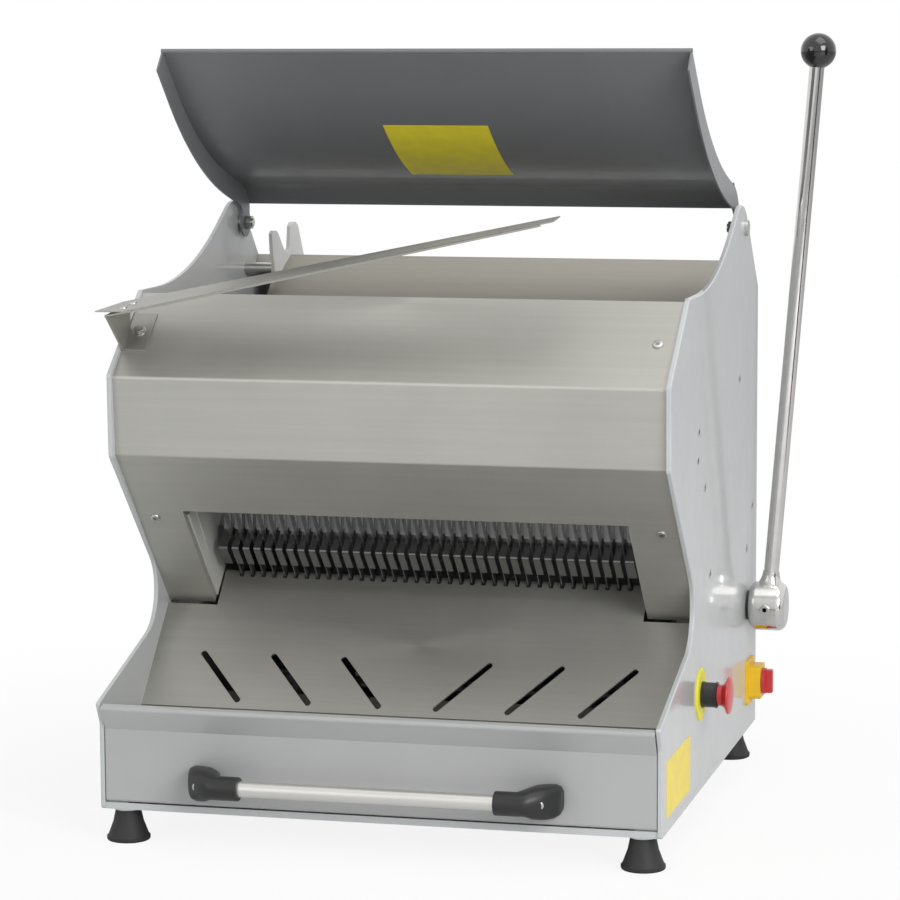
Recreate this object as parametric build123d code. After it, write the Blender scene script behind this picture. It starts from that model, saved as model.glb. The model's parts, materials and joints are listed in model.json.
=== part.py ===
from build123d import *
import os
from math import atan2, cos, radians, sin, tan

# Bread slicer for a worktop. X runs across, Y to the back, Z up, in millimetres.
# The origin lies on the worktop, midway between the side plates, under their front edge.

# Driving dimensions of the body
body_width = 600
plate_wall = 5
body_depth = 591
foot_height = 36
sheet = 2
fold_radius = 1.5
inner_half = body_width / 2 - plate_wall
running = 0.05
side_gap = 0.3

# Side plate outline
plate_rim = 1.6
front_top = 127
lip_reach = 12
lip_top = 151
waist_y = 222
waist_z = 219
waist_radius = 48
shoulder_low = (42, 404)
shoulder_high = (40, 491)
roof_front = (144, 571)
roof_level = 569.5
horn_foot_y = 312
horn_slope = 28
horn_top_y = body_depth - 107.4
horn_curve = 450
horn_peak_radius = 53
rear_top = 548

# Hood
hood_recess = 8
hood_top_y = 144
hood_top_z = 568
hood_wall = 1.5
hood_bend = 3
hood_crease_high = (45, 488)
hood_crease_low = (50, 405)
hood_foot = (219, 221)
mouth_top_z = 337.6
mouth_return = 12
hood_screw_x = inner_half - 19
lower_screw_share = 0.415
roof_screw_share = 0.5

# Outfeed slide
slide_angle = 45
slide_front = (119, 124)
slide_wide_length = 134
slide_length = 181
slide_lip = 14
slide_slot_width = 7
slide_slot_rear_x = (80.5, 159.5, 239)
slide_slot_front_x = (32, 110, 189)
slide_slot_rear = 69.3
slide_slot_front = 11.3
slide_comb_depth = 8

# Slicing grid: the chute floor rises at chute_angle, the blades stand square to it
chute_angle = 39
comb_tip = (198, 285)
tip_to_blades = 17
slice_pitch = 12.5
comb_side_space = 60
half_fingers = int((inner_half - comb_side_space) / slice_pitch)
finger_count = 2 * half_fingers + 1
comb_half = finger_count * slice_pitch / 2
finger_width = 7.5
comb_wall = 2
comb_root = 34
comb_slot_end = 16
comb_return = 29
chute_top_y = body_depth - 30
chute_notch_depth = 25
chute_notch_width = 27
chute_half = inner_half - chute_notch_width

# Guide plates at the ends of the comb
guide_wall = 4
guide_inner = comb_half + 7.25
guide_front_u = -26
guide_slope_length = 70
guide_radii = (10, 4, 8, 30, 12)
guide_rear_u = 270
guide_top_s = 125
guide_rear_top_s = 90
mouth_half = guide_inner + guide_wall

# Blades and their frames
blade_depth = 12
blade_thickness = 0.6
crank_throw = 8
frame_bar_width = 12
frame_bar_height = 20
frame_gap = 14
upper_bar_s = 172
lower_bar_s = -160
rail_inner = inner_half - 33
rail_wall = 6
clamp_width = 5
guide_block_height = 30
guide_block_levels = (-95, 140)
guide_fin_reach = 8

# Crank drive
crank_s = -247
crank_radius = 10
eccentric_radius = 22
eccentric_width = 14
rod_width = 12
rod_wall = 8
rod_length = 59
eye_radius = 10
wrist_radius = 5
ear_gap = 10
ear_wall = 5
ear_near_share = 0.7
front_rod_x = (half_fingers - 7) * slice_pitch
rear_rod_x = (half_fingers - 3) * slice_pitch
stand_x = inner_half - 63
stand_width = 16
stand_foot = 42
stand_head = 22
crank_half = stand_x + stand_width / 2 + 10
belt_x = -80
belt_width = 12
belt_wall = 4
pulley_flange = 3
pulley_flange_wall = 2
belt_side_room = 1
crank_pulley_radius = 40
motor_pulley_radius = 20
motor_y = body_depth - 110
motor_z = 101
motor_radius = 54
motor_low_x = -55
motor_length = 175
motor_rim = 6
motor_end_length = 25
motor_fin_count = 9
motor_groove_width = 6
motor_groove_depth = 4
motor_shaft_radius = 7
motor_shaft_depth = 20
cradle_wall = 6
cradle_inset = 8
cradle_half = 43
cradle_foot = 14
cradle_rise = 10

# Pusher and hand lever
shaft_y = body_depth - 61
shaft_z = 184
shaft_radius = 12.5
bush_wall = 4.5
bush_flange = 8
pusher_swing = 45
arm_inner = inner_half - 22
arm_wall = 6
arm_boss_radius = 22
arm_boss_length = 12
arm_width = 30
arm_bolt_radius = 8
arm_bolt_head = 5
push_tube_radius = 11
push_tube_u = 58
push_tube_s = 35
push_slot_gap = 1.5
rake_half = guide_inner - 4.5
rake_low_s = 12
rake_high_s = 50
rake_tooth_front_u = 12
rake_tooth_wall = 2
rake_back_wall = 3
collar_radius = 25
collar_length = 2.6
hub_radius = 28
hub_length = 42
hub_round = 8
hub_neck_radius = 14.5
hub_neck_top_radius = 11
hub_neck_length = 11
hub_neck_overlap = 4
set_screw_radius = 6
set_screw_length = 3.5
rod_radius = 8.5
rod_foot_gap = 2
ball_radius = 20
ball_grip = 6
ball_x = body_width / 2 + 76
ball_z = 818.6

# Hold-down comb
hold_hinge = (165, 420)
hold_rod_radius = 5
hold_tube_radius = 9
hold_finger_width = 8.5
hold_knee = (213, 374)
hold_tip = (216, 304)
hold_wall = 3
hold_bend = 22

# Lid
pivot_behind_peak = 11.4
pivot_below_peak = 39.74
lid_open = 43.2
lid_wall = 1.5
lid_front_y = 146
lid_rear_y = horn_top_y + 6.4
lid_cheek_outer = inner_half - 4.5
lid_cheek_wall = 2
lid_cheek_depth = 25
lid_arm_radius = 17
lid_arm_root = 47
lid_bolt_radius = 5
bolt_past_cheek = 9
bolt_head_radius = 9
bolt_head_height = 4
lid_nut_radius = 8.5
lid_nut_height = 7
lid_spacer_radius = 10
lid_lip = 5

# Crumb drawer
drawer_gap = 1
drawer_bottom = 44
drawer_front_y = 1
drawer_fold_z = 122
drawer_lip = (-14, 147)
drawer_foot_return = 16
drawer_lip_return = (8, 3)
tray_half = inner_half - 9
tray_back_gap = 2
tray_top = 100
tray_wall = 1.2
tube_radius = 8.5
tube_y = -38
tube_z = 74
tube_wall = 1.5
tube_half = 152
bracket_x = tube_half + 12
bracket_width = 30
bracket_socket_radius = 13
bracket_neck_rise = 9
bracket_neck_low_x = bracket_x - 6
bracket_foot_shift = 9
bracket_foot_corner = 9
bracket_rim = 2.5
bracket_foot_length = 52
bracket_foot_height = 26
bracket_foot_wall = 6
runner_width = 24
runner_web = 16

# Base pan, rear cover and cable gland
pan_front_y = 2
cover_lip = (3.5, -1.4)
louvre_count = 8
louvre_x = 30
louvre_low_z = 66
louvre_pitch = 12
louvre_length = 110
louvre_height = 5
gland_x = -180
gland_z = 70
gland_radius = 11
gland_nut_radius = 8.5
gland_base = 6
gland_length = 16

# Feet
foot_low_radius = 23
foot_x = body_width / 2 - foot_low_radius - 0.5
foot_front_y = 20
foot_rear_y = body_depth - 38
foot_top_radius = 13
foot_washer_radius = 15
foot_washer_wall = 2.5

# Electric controls on the right plate
stop_y = 217
stop_z = 142
stop_ring_radius = 28
stop_ring_wall = 2
stop_barrel_radius = 14
stop_barrel_length = 17
stop_stem_radius = 6
stop_cap_radius = 20
stop_skirt_radius = 11.5
stop_skirt_length = 6
stop_cap_length = 11
stop_travel = 4
switch_y = body_depth - 51
switch_z = 94
switch_flange = (3, 48, 52)
switch_box = (16, 36, 38)
switch_flange_corner = 5
switch_knob_radius = 15
switch_knob_disc = 4
switch_grip = (12, 9, 27)

# Bagging scoop
scoop_base = (-body_width / 2, 20, 561)
scoop_rise = 11.5
scoop_tilt = 5.4
scoop_length = 484
scoop_base_width = 107
scoop_tip_width = 26
scoop_wall = 1.5
scoop_lip = 7
scoop_corner = 10
scoop_base_corner = 4
scoop_skew = 12
scoop_lip_ends = (6, 14)
scoop_screw_radius = 4.5
scoop_screw_height = 2.4
scoop_screw_places = ((20, 40), (20, 74))
gusset_width = 26
gusset_wall = 2.5
gusset_foot_y = (72, 116)
gusset_front_y = 36
gusset_tab_gap = 1.4
gusset_tab = (56, 84, 2)
gusset_foot_wall = 1.8

# Small parts
screw_head_radius = 5.5
screw_head_height = 2.2
plate_screw_radius = 5
plate_screw_height = 0.6
tie_radius = 8
tie_places = ((176, 515), (body_depth - 29, 72), (body_depth - 25, 300))
front_screw_places = ((201, 426), (196, 396), (239, 362), (273, 263), (461, 454))
rear_screw_places = ((body_depth - 35, 297), (body_depth - 72, 252))

# Fork plate, its spacer bolt and the lid buffer
fork_wall = 5
fork_low_x = -inner_half + 33
fork_front = -61
fork_corners = ((27, 13), (27, 37), (15, 37), (-1, 6), (-20, 6), (-60, 34), (-74, 34))
fork_radii = (0, 0, 10, 5, 5, 6, 6, 5, 5)
spacer_place = (-49, -13)
spacer_radius = 7
buffer_low_x = -inner_half + 49
buffer_length = 28
buffer_depth = 15
buffer_hook = 8

# Slicing frame of reference: u runs up the chute floor, s stands square to it
u_dir = Vector(0, cos(radians(chute_angle)), sin(radians(chute_angle)))
s_dir = Vector(0, -sin(radians(chute_angle)), cos(radians(chute_angle)))
blade_foot = Vector(0, *comb_tip) + u_dir * tip_to_blades
chute_top_u = (chute_top_y - blade_foot.Y) / u_dir.Y
horn_top = (horn_top_y, roof_level + (horn_top_y - horn_foot_y) * tan(radians(horn_slope)))
lid_pivot = (horn_top[0] + pivot_behind_peak, horn_top[1] - pivot_below_peak)


def grid_point(u, s):
    """(y, z) of a point given up the chute floor and square to it."""
    place = blade_foot + u_dir * u + s_dir * s
    return place.Y, place.Z


def grid_place(y, z):
    """(u, s) of a point given as (y, z)."""
    reach = Vector(0, y, z) - blade_foot
    return reach.dot(u_dir), reach.dot(s_dir)


def chute_floor_z(y):
    """Height of the chute floor's top face at y."""
    return comb_tip[1] + (y - comb_tip[0]) * tan(radians(chute_angle))


def outline(points, radii=0):
    """Closed outline through (y, z) points with rounded corners."""
    if radii == 0:
        return make_face(Polyline(*points, close=True))
    return make_face(FilletPolyline(*points, radius=radii, close=True))


def across(face, low_x, high_x):
    """Solid of a Y-Z outline between two places across the machine."""
    return Pos(low_x, 0, 0) * extrude(Plane.YZ * face, high_x - low_x)


def grid_block(u_range, s_range, x_range):
    """Block with its sides along the slicing grid."""
    (u_low, u_high), (s_low, s_high) = u_range, s_range
    corners = [(u_low, s_low), (u_high, s_low), (u_high, s_high), (u_low, s_high)]
    return across(outline([grid_point(u, s) for u, s in corners]), *x_range)


def bent_sheet(path, wall, bend):
    """Outline of a folded sheet: the path is one face, the wall lies to its left."""
    points = [Vector(y, z) for y, z in path]
    normals = []
    for start, end in zip(points, points[1:]):
        along = (end - start).normalized()
        normals.append(Vector(-along.Y, along.X))
    other = [points[0] + normals[0] * wall]
    path_radii = []
    other_radii = []
    for corner, before, after in zip(points[1:-1], normals, normals[1:]):
        other.append(corner + (before + after) * (wall / (1 + before.dot(after))))
        turns_left = before.cross(after).Z > 0
        path_radii.append(bend + wall if turns_left else bend)
        other_radii.append(bend if turns_left else bend + wall)
    other.append(points[-1] + normals[-1] * wall)
    radii = [0] + path_radii + [0, 0] + other_radii[::-1] + [0]
    if len(points) == 2:
        return outline([(p.X, p.Y) for p in points + other[::-1]])
    return outline([(p.X, p.Y) for p in points + other[::-1]], radii)


def bar(y, z, radius, low_x, high_x):
    """Round bar across the machine."""
    return Pos(low_x, y, z) * Rot(0, 90, 0) * Cylinder(
        radius, high_x - low_x, align=(Align.CENTER, Align.CENTER, Align.MIN)
    )


def disc(y, z, radius, low_x, high_x, rim):
    """Round bar with its outer rims chamfered."""
    blank = bar(y, z, radius, low_x, high_x)
    return chamfer(blank.edges().filter_by(GeomType.CIRCLE), rim)


def turned(profile, y, z):
    """Body turned about an X axis from (x, radius) points."""
    face = make_face(Polyline(*profile, close=True))
    return Pos(0, y, z) * revolve(face, Axis.X)


def both_sides(piece):
    """The piece and its mirror image on the other side."""
    return [piece, mirror(piece, Plane.YZ)]


def turned_about(piece, y, z, angle):
    """The piece turned about an X axis."""
    return Pos(0, y, z) * Rot(angle, 0, 0) * Pos(0, -y, -z) * piece


nodes = {}

# Side plates
plate_points = [
    (0, foot_height),
    (0, front_top),
    (-lip_reach, lip_top),
    (waist_y, waist_z),
    shoulder_low,
    shoulder_high,
    roof_front,
    (horn_foot_y, roof_level),
    horn_top,
    (body_depth, rear_top),
    (body_depth, foot_height),
]
plate_radii = [3, 6, 3, waist_radius, 6, 6, 4, horn_curve, horn_peak_radius, 8, 3]
plate_face = outline(plate_points, plate_radii)
plate = across(plate_face, inner_half, inner_half + plate_wall)
outer_rim = plate.faces().sort_by(Axis.X)[-1].edges()
plate = fillet(outer_rim, plate_rim)
shaft_bush_radius = shaft_radius + bush_wall
plate_with_hub = plate - bar(shaft_y, shaft_z, shaft_bush_radius, inner_half - 1, body_width)
lid_hole = bar(*lid_pivot, lid_bolt_radius + running, inner_half - 1, body_width)
nodes["right_side_plate"] = plate_with_hub - lid_hole
nodes["left_side_plate"] = mirror(plate - lid_hole, Plane.YZ)

# Hood
hood_path = [hood_foot, hood_crease_low, hood_crease_high, (hood_top_y, hood_top_z)]
hood = across(bent_sheet(hood_path[::-1], hood_wall, hood_bend), -inner_half, inner_half)
mouth_cut_front = min(hood_crease_low[0], hood_crease_high[0]) - hood_recess
mouth = Pos(0, mouth_cut_front, 0) * Box(
    2 * mouth_half, hood_foot[0], mouth_top_z, align=(Align.CENTER, Align.MIN, Align.MIN)
)
hood -= mouth
face_run = Vector(*hood_foot) - Vector(*hood_crease_low)
face_dir = face_run.normalized()
face_in = Vector(-face_dir.Y, face_dir.X)
return_top = Vector(*hood_crease_low) + face_run * ((mouth_top_z - hood_crease_low[1]) / face_run.Y)
return_corners = [
    return_top + face_in * hood_wall / 2,
    Vector(*hood_foot) + face_in * hood_wall / 2,
    Vector(*hood_foot) + face_in * mouth_return,
    return_top + face_in * mouth_return,
]
mouth_flange = across(
    outline([(p.X, p.Y) for p in return_corners]), mouth_half, mouth_half + hood_wall
)
for flange in both_sides(mouth_flange):
    hood += flange
nodes["hood"] = hood

# Hood screws: two beside the mouth and one high on the right
lower_screw = Vector(*hood_crease_low) + face_run * lower_screw_share


def facet_screw(x, place, outward):
    """Low round screw head standing on a sloping facet."""
    plane = Plane(origin=(x, place.X, place.Y), z_dir=(0, outward.X, outward.Y))
    return plane * Cylinder(
        screw_head_radius, screw_head_height, align=(Align.CENTER, Align.CENTER, Align.MIN)
    )


roof_run = Vector(hood_top_y, hood_top_z) - Vector(*hood_crease_high)
roof_out = Vector(-roof_run.Y, roof_run.X).normalized()
roof_screw = Vector(*hood_crease_high) + roof_run * roof_screw_share
hood_screws = [
    facet_screw(-hood_screw_x, lower_screw, -face_in),
    facet_screw(hood_screw_x, lower_screw, -face_in),
    facet_screw(hood_screw_x, roof_screw, roof_out),
]

# Outfeed slide
slide_plane = Plane(
    origin=(0, *slide_front),
    x_dir=(1, 0, 0),
    z_dir=(0, -sin(radians(slide_angle)), cos(radians(slide_angle))),
)
slide_face = make_face(
    Polyline(
        (-inner_half, 0),
        (inner_half, 0),
        (inner_half, slide_wide_length),
        (guide_inner - side_gap, slide_wide_length),
        (guide_inner - side_gap, slide_length),
        (-guide_inner + side_gap, slide_length),
        (-guide_inner + side_gap, slide_wide_length),
        (-inner_half, slide_wide_length),
        close=True,
    )
)
for rear_x, front_x in zip(slide_slot_rear_x, slide_slot_front_x):
    for side in (-1, 1):
        ends = Line((side * front_x, slide_slot_front), (side * rear_x, slide_slot_rear))
        slide_face -= SlotCenterToCenter(ends.length, slide_slot_width).locate(
            Location(ends @ 0.5) * Location((0, 0, 0), (0, 0, ends.tangent_angle_at(0)))
        )
blade_gap_x = [(k - (finger_count - 2) / 2) * slice_pitch for k in range(finger_count - 1)]
blade_slot = slice_pitch - finger_width
for x in blade_gap_x:
    slide_face -= Pos(x, slide_length) * Rectangle(blade_slot, 2 * slide_comb_depth)
slide = slide_plane * extrude(slide_face, -sheet)
slide_lip_low = (slide_front[0], slide_front[1] - slide_lip)
slide_lip_path = [slide_lip_low, (slide_front[0], slide_front[1] - sheet / 2)]
slide += across(bent_sheet(slide_lip_path[::-1], sheet, 0), -inner_half, inner_half)
nodes["outfeed_slide"] = slide

# Chute floor, lower comb and guide plates
chute = grid_block((comb_root, chute_top_u), (-sheet, 0), (-chute_half, chute_half))
notch_u = chute_top_u - chute_notch_depth
chute += grid_block((notch_u, chute_top_u), (-sheet, 0), (-inner_half, inner_half))
nodes["chute_floor"] = chute

tip_u = -tip_to_blades
tip_place = grid_point(tip_u, 0)
return_end = (tip_place[0] + comb_return * cos(radians(slide_angle)),
              tip_place[1] - comb_return * sin(radians(slide_angle)))
comb_path = [grid_point(comb_root, 0), tip_place, return_end]
comb = across(bent_sheet(comb_path, comb_wall, 1), -comb_half, comb_half)
for x in blade_gap_x:
    comb -= grid_block(
        (tip_u - slice_pitch, comb_slot_end),
        (-comb_return - slice_pitch, sheet),
        (x - blade_slot / 2, x + blade_slot / 2),
    )
comb += grid_block((comb_slot_end, comb_root), (-comb_wall, 0), (-guide_inner, guide_inner))
nodes["lower_comb"] = comb

shaft_u, shaft_s = grid_place(shaft_y, shaft_z)
push_radius = Vector(push_tube_u - shaft_u, push_tube_s - shaft_s).length
guide_points = [
    (guide_front_u, 0),
    (guide_rear_u, 0),
    (guide_rear_u, guide_rear_top_s),
    (guide_rear_u - guide_slope_length, guide_top_s),
    (guide_front_u, guide_top_s),
]
guide_face = outline([grid_point(u, s) for u, s in guide_points], guide_radii)
slot_reach = push_tube_radius + push_slot_gap
ring = Circle(push_radius + slot_reach) - Circle(push_radius - slot_reach)
ring = Pos(shaft_y, shaft_z) * ring
slot_end_u = push_tube_u - slot_reach - 1
past_u = guide_rear_u + arm_width
past_s = guide_top_s + arm_width
slot_corners = [(slot_end_u, -past_s), (past_u, -past_s), (past_u, past_s), (slot_end_u, past_s)]
guide_face -= ring & outline([grid_point(u, s) for u, s in slot_corners])
guide = across(guide_face, guide_inner, guide_inner + guide_wall)
guide -= bar(*hold_hinge, hold_rod_radius + running, 0, body_width)
nodes["guide_plates"] = Compound(both_sides(guide))

# Blades and frames: the front frame starts at the top of its stroke, the rear one at the bottom
front_lift = crank_throw
rear_lift = -crank_throw
bar_near = frame_gap / 2
bar_far = bar_near + frame_bar_width


def blade_frame(side, lift, blades_x):
    """Two bars and two rails round the blades, with a clamp at both ends of each blade."""
    u_range = (bar_near, bar_far) if side > 0 else (-bar_far, -bar_near)
    clamp_u = (-bar_near + 1, bar_near) if side > 0 else (-bar_near, bar_near - 1)
    pieces = []
    for low_s in (lower_bar_s, upper_bar_s):
        s_range = (low_s + lift, low_s + lift + frame_bar_height)
        cross = grid_block(u_range, s_range, (-rail_inner, rail_inner))
        for x in blades_x:
            cross += grid_block(clamp_u, s_range, (x - clamp_width / 2, x + clamp_width / 2))
        pieces.append(cross)
    rail_s = (lower_bar_s + lift, upper_bar_s + lift + frame_bar_height)
    rail = grid_block(u_range, rail_s, (rail_inner, rail_inner + rail_wall))
    return pieces + both_sides(rail)


def blade_set(lift, blades_x):
    """Thin upright blades between the clamps."""
    s_range = (lower_bar_s + frame_bar_height + lift, upper_bar_s + lift)
    u_range = (-blade_depth / 2, blade_depth / 2)
    half = blade_thickness / 2
    return Compound([grid_block(u_range, s_range, (x - half, x + half)) for x in blades_x])


front_x = blade_gap_x[0::2]
rear_x = blade_gap_x[1::2]
nodes["front_blades"] = blade_set(front_lift, front_x)
nodes["rear_blades"] = blade_set(rear_lift, rear_x)

block_back = rail_inner + rail_wall + side_gap
guide_blocks = []
for level in guide_block_levels:
    s_range = (level, level + guide_block_height)
    block = grid_block((-bar_far - 5, bar_far + 5), s_range, (block_back, inner_half))
    fin_u = bar_near - side_gap
    block += grid_block((-fin_u, fin_u), s_range, (block_back - guide_fin_reach, block_back + 1))
    guide_blocks += both_sides(block)
nodes["frame_guides"] = Compound(guide_blocks)


def rod_ears(side, lift, rod_x):
    """Pairs of ears under the lower bar that hold the rod's eye between them."""
    eye_s = crank_s + lift + rod_length
    near, far = (bar_near, bar_far) if side > 0 else (-bar_near, -bar_far)
    eye = grid_point(0, eye_s)
    root_s = lower_bar_s + lift
    near_u = -near * ear_near_share
    corners = [(far, root_s), (near_u, root_s), (near_u, eye_s), (far, eye_s)]
    ear_face = outline([grid_point(u, s) for u, s in corners]) + Pos(*eye) * Circle(eye_radius)
    ear_face -= Pos(*eye) * Circle(wrist_radius + side_gap)
    ears = []
    for low_x in (rod_x - ear_gap - ear_wall, rod_x + ear_gap):
        ears += both_sides(across(ear_face, low_x, low_x + ear_wall))
    return ears


front_frame = blade_frame(-1, front_lift, front_x) + rod_ears(-1, front_lift, front_rod_x)
rear_frame = blade_frame(1, rear_lift, rear_x) + rod_ears(1, rear_lift, rear_rod_x)
nodes["front_blade_frame"] = Compound(front_frame)
nodes["rear_blade_frame"] = Compound(rear_frame)

# Crankshaft, rods, stands and belt drive
crank_y, crank_z = grid_point(0, crank_s)
crankshaft = bar(crank_y, crank_z, crank_radius, -crank_half, crank_half)
for lift, rod_x in ((front_lift, front_rod_x), (rear_lift, rear_rod_x)):
    eccentric_place = grid_point(0, crank_s + lift)
    for x in (-rod_x, rod_x):
        x_range = (x - eccentric_width / 2, x + eccentric_width / 2)
        crankshaft += bar(*eccentric_place, eccentric_radius, *x_range)
nodes["crankshaft"] = crankshaft


def con_rods(lift, rod_x):
    """Two connecting rods with a ring on the eccentric and a pinned eye."""
    low = grid_point(0, crank_s + lift)
    high = grid_point(0, crank_s + lift + rod_length)
    half = eye_radius * 0.75
    shank_s = (crank_s + lift, crank_s + lift + rod_length)
    x_range = (rod_x - rod_width / 2, rod_x + rod_width / 2)
    rod = grid_block((-half, half), shank_s, x_range)
    rod += bar(*low, eccentric_radius + rod_wall, *x_range)
    rod += bar(*high, eye_radius, *x_range)
    rod -= bar(*low, eccentric_radius + running, rod_x - rod_width, rod_x + rod_width)
    rod -= bar(*high, wrist_radius, rod_x - rod_width, rod_x + rod_width)
    return both_sides(rod)


def wrist_pins(lift, rod_x):
    """Pins in the rods' eyes."""
    half = ear_gap - side_gap
    high = grid_point(0, crank_s + lift + rod_length)
    return both_sides(bar(*high, wrist_radius, rod_x - half, rod_x + half))


front_drive = (front_lift, front_rod_x)
rear_drive = (rear_lift, rear_rod_x)
nodes["front_rods"] = Compound(con_rods(*front_drive) + wrist_pins(*front_drive))
nodes["rear_rods"] = Compound(con_rods(*rear_drive) + wrist_pins(*rear_drive))

pan_top = foot_height + sheet
stand_points = [
    (crank_y - stand_foot, pan_top),
    (crank_y + stand_foot, pan_top),
    (crank_y + stand_head, crank_z),
    (crank_y + stand_head, crank_z + stand_head),
    (crank_y - stand_head, crank_z + stand_head),
    (crank_y - stand_head, crank_z),
]
stand_face = outline(stand_points, [3, 3, 30, 15, 15, 30])
stand = across(stand_face, stand_x - stand_width / 2, stand_x + stand_width / 2)
stand -= bar(crank_y, crank_z, crank_radius + running, 0, body_width)
nodes["crank_stands"] = Compound(both_sides(stand))


def pulley(y, z, radius, bore):
    """Flat belt pulley with two flanges."""
    half = belt_width / 2 + belt_side_room
    wheel = bar(y, z, radius, belt_x - half, belt_x + half)
    for low_x in (belt_x - half - pulley_flange_wall, belt_x + half):
        wheel += bar(y, z, radius + pulley_flange, low_x, low_x + pulley_flange_wall)
    return wheel - bar(y, z, bore, belt_x - 2 * belt_width, belt_x + 2 * belt_width)


nodes["crank_pulley"] = pulley(crank_y, crank_z, crank_pulley_radius, crank_radius)
nodes["motor_pulley"] = pulley(motor_y, motor_z, motor_pulley_radius, motor_shaft_radius)


def belt_loop(grow):
    """Outline round both pulleys, larger than them by grow."""
    big = Pos(crank_y, crank_z) * Circle(crank_pulley_radius + grow)
    small = Pos(motor_y, motor_z) * Circle(motor_pulley_radius + grow)
    return make_hull(big.edges() + small.edges())


belt_reach = crank_pulley_radius + side_gap + belt_wall
belt_face = belt_loop(side_gap + belt_wall) - belt_loop(side_gap)
nodes["drive_belt"] = across(belt_face, belt_x - belt_width / 2, belt_x + belt_width / 2)
motor_shaft_low = belt_x - belt_width
motor_shaft_high = motor_low_x + motor_shaft_depth
nodes["motor_shaft"] = bar(motor_y, motor_z, motor_shaft_radius, motor_shaft_low, motor_shaft_high)
motor_high_x = motor_low_x + motor_length
motor = disc(motor_y, motor_z, motor_radius, motor_low_x, motor_high_x, motor_rim)
motor -= bar(motor_y, motor_z, motor_shaft_radius + running, motor_low_x - 1, motor_shaft_high + 1)
groove_pitch = (motor_length - 2 * motor_end_length) / (motor_fin_count - 1)
for k in range(motor_fin_count):
    groove_low = motor_low_x + motor_end_length + k * groove_pitch - motor_groove_width / 2
    groove = bar(motor_y, motor_z, motor_radius + 1, groove_low, groove_low + motor_groove_width)
    groove -= bar(motor_y, motor_z, motor_radius - motor_groove_depth, groove_low, motor_high_x)
    motor -= groove
nodes["motor"] = motor
cradle_points = [
    (motor_y - cradle_half - cradle_foot, pan_top),
    (motor_y + cradle_half + cradle_foot, pan_top),
    (motor_y + cradle_half, motor_z - cradle_rise),
    (motor_y - cradle_half, motor_z - cradle_rise),
]
cradle_face = outline(cradle_points) - Pos(motor_y, motor_z) * Circle(motor_radius + running)
cradles = []
for low_x in (motor_low_x + cradle_inset, motor_high_x - cradle_inset - cradle_wall):
    cradles.append(across(cradle_face, low_x, low_x + cradle_wall))
nodes["motor_cradle"] = Compound(cradles)

# Pusher: it is drawn against the blades, then swung back to its rest
push_place = grid_point(push_tube_u, push_tube_s)
arm_reach = Vector(*push_place) - Vector(shaft_y, shaft_z)
arm_side = Vector(-arm_reach.Y, arm_reach.X).normalized()
arm_corners = [
    Vector(shaft_y, shaft_z) + arm_side * arm_boss_radius,
    Vector(shaft_y, shaft_z) - arm_side * arm_boss_radius,
    Vector(*push_place) - arm_side * arm_width / 2,
    Vector(*push_place) + arm_side * arm_width / 2,
]
arm_face = outline([(p.X, p.Y) for p in arm_corners])
arm_face += Pos(*push_place) * Circle(arm_width / 2)
arm_face += Pos(shaft_y, shaft_z) * Circle(arm_boss_radius)
arm = across(arm_face, arm_inner, arm_inner + arm_wall)
arm += bar(shaft_y, shaft_z, arm_boss_radius, arm_inner - arm_boss_length, arm_inner)
arm -= bar(shaft_y, shaft_z, shaft_radius, 0, body_width)
arm_outer = arm_inner + arm_wall
arm_bolt = bar(*push_place, arm_bolt_radius, arm_outer, arm_outer + arm_bolt_head)
push_tube = bar(*push_place, push_tube_radius, -arm_inner, arm_inner)
rake_back_u = push_tube_u - push_tube_radius - rake_back_wall
rake = grid_block(
    (rake_back_u, rake_back_u + rake_back_wall),
    (rake_low_s, rake_high_s),
    (-rake_half, rake_half),
)
for x in blade_gap_x:
    rake += grid_block(
        (rake_tooth_front_u, rake_back_u),
        (rake_low_s, rake_high_s),
        (x - rake_tooth_wall / 2, x + rake_tooth_wall / 2),
    )


def at_rest(piece):
    """The pusher piece swung back from the blades."""
    return turned_about(piece, shaft_y, shaft_z, -pusher_swing)


nodes["pusher_arms"] = Compound([at_rest(side) for side in both_sides(arm)])
nodes["pusher_bolts"] = Compound([at_rest(side) for side in both_sides(arm_bolt)])
nodes["pusher_tube"] = at_rest(push_tube)
nodes["pusher_rake"] = at_rest(rake)

collar_face_x = body_width / 2 + collar_length
shaft_high_x = collar_face_x + hub_length * 0.6
shaft_low_x = -inner_half + 3
nodes["pusher_shaft"] = bar(shaft_y, shaft_z, shaft_radius, shaft_low_x, shaft_high_x)
bush_inner = inner_half - bush_flange
bush_right = bar(shaft_y, shaft_z, shaft_bush_radius - running, bush_inner, body_width / 2)
bush_right += bar(shaft_y, shaft_z, collar_radius, body_width / 2, collar_face_x)
bush_right += bar(shaft_y, shaft_z, collar_radius, bush_inner, inner_half)
bush_right -= bar(shaft_y, shaft_z, shaft_radius + running, 0, body_width)
bush_left = bar(shaft_y, shaft_z, collar_radius, -inner_half, -bush_inner)
bush_left -= bar(shaft_y, shaft_z, shaft_radius + running, shaft_low_x - side_gap, 0)
nodes["shaft_bushes"] = Compound([bush_right, bush_left])

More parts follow.
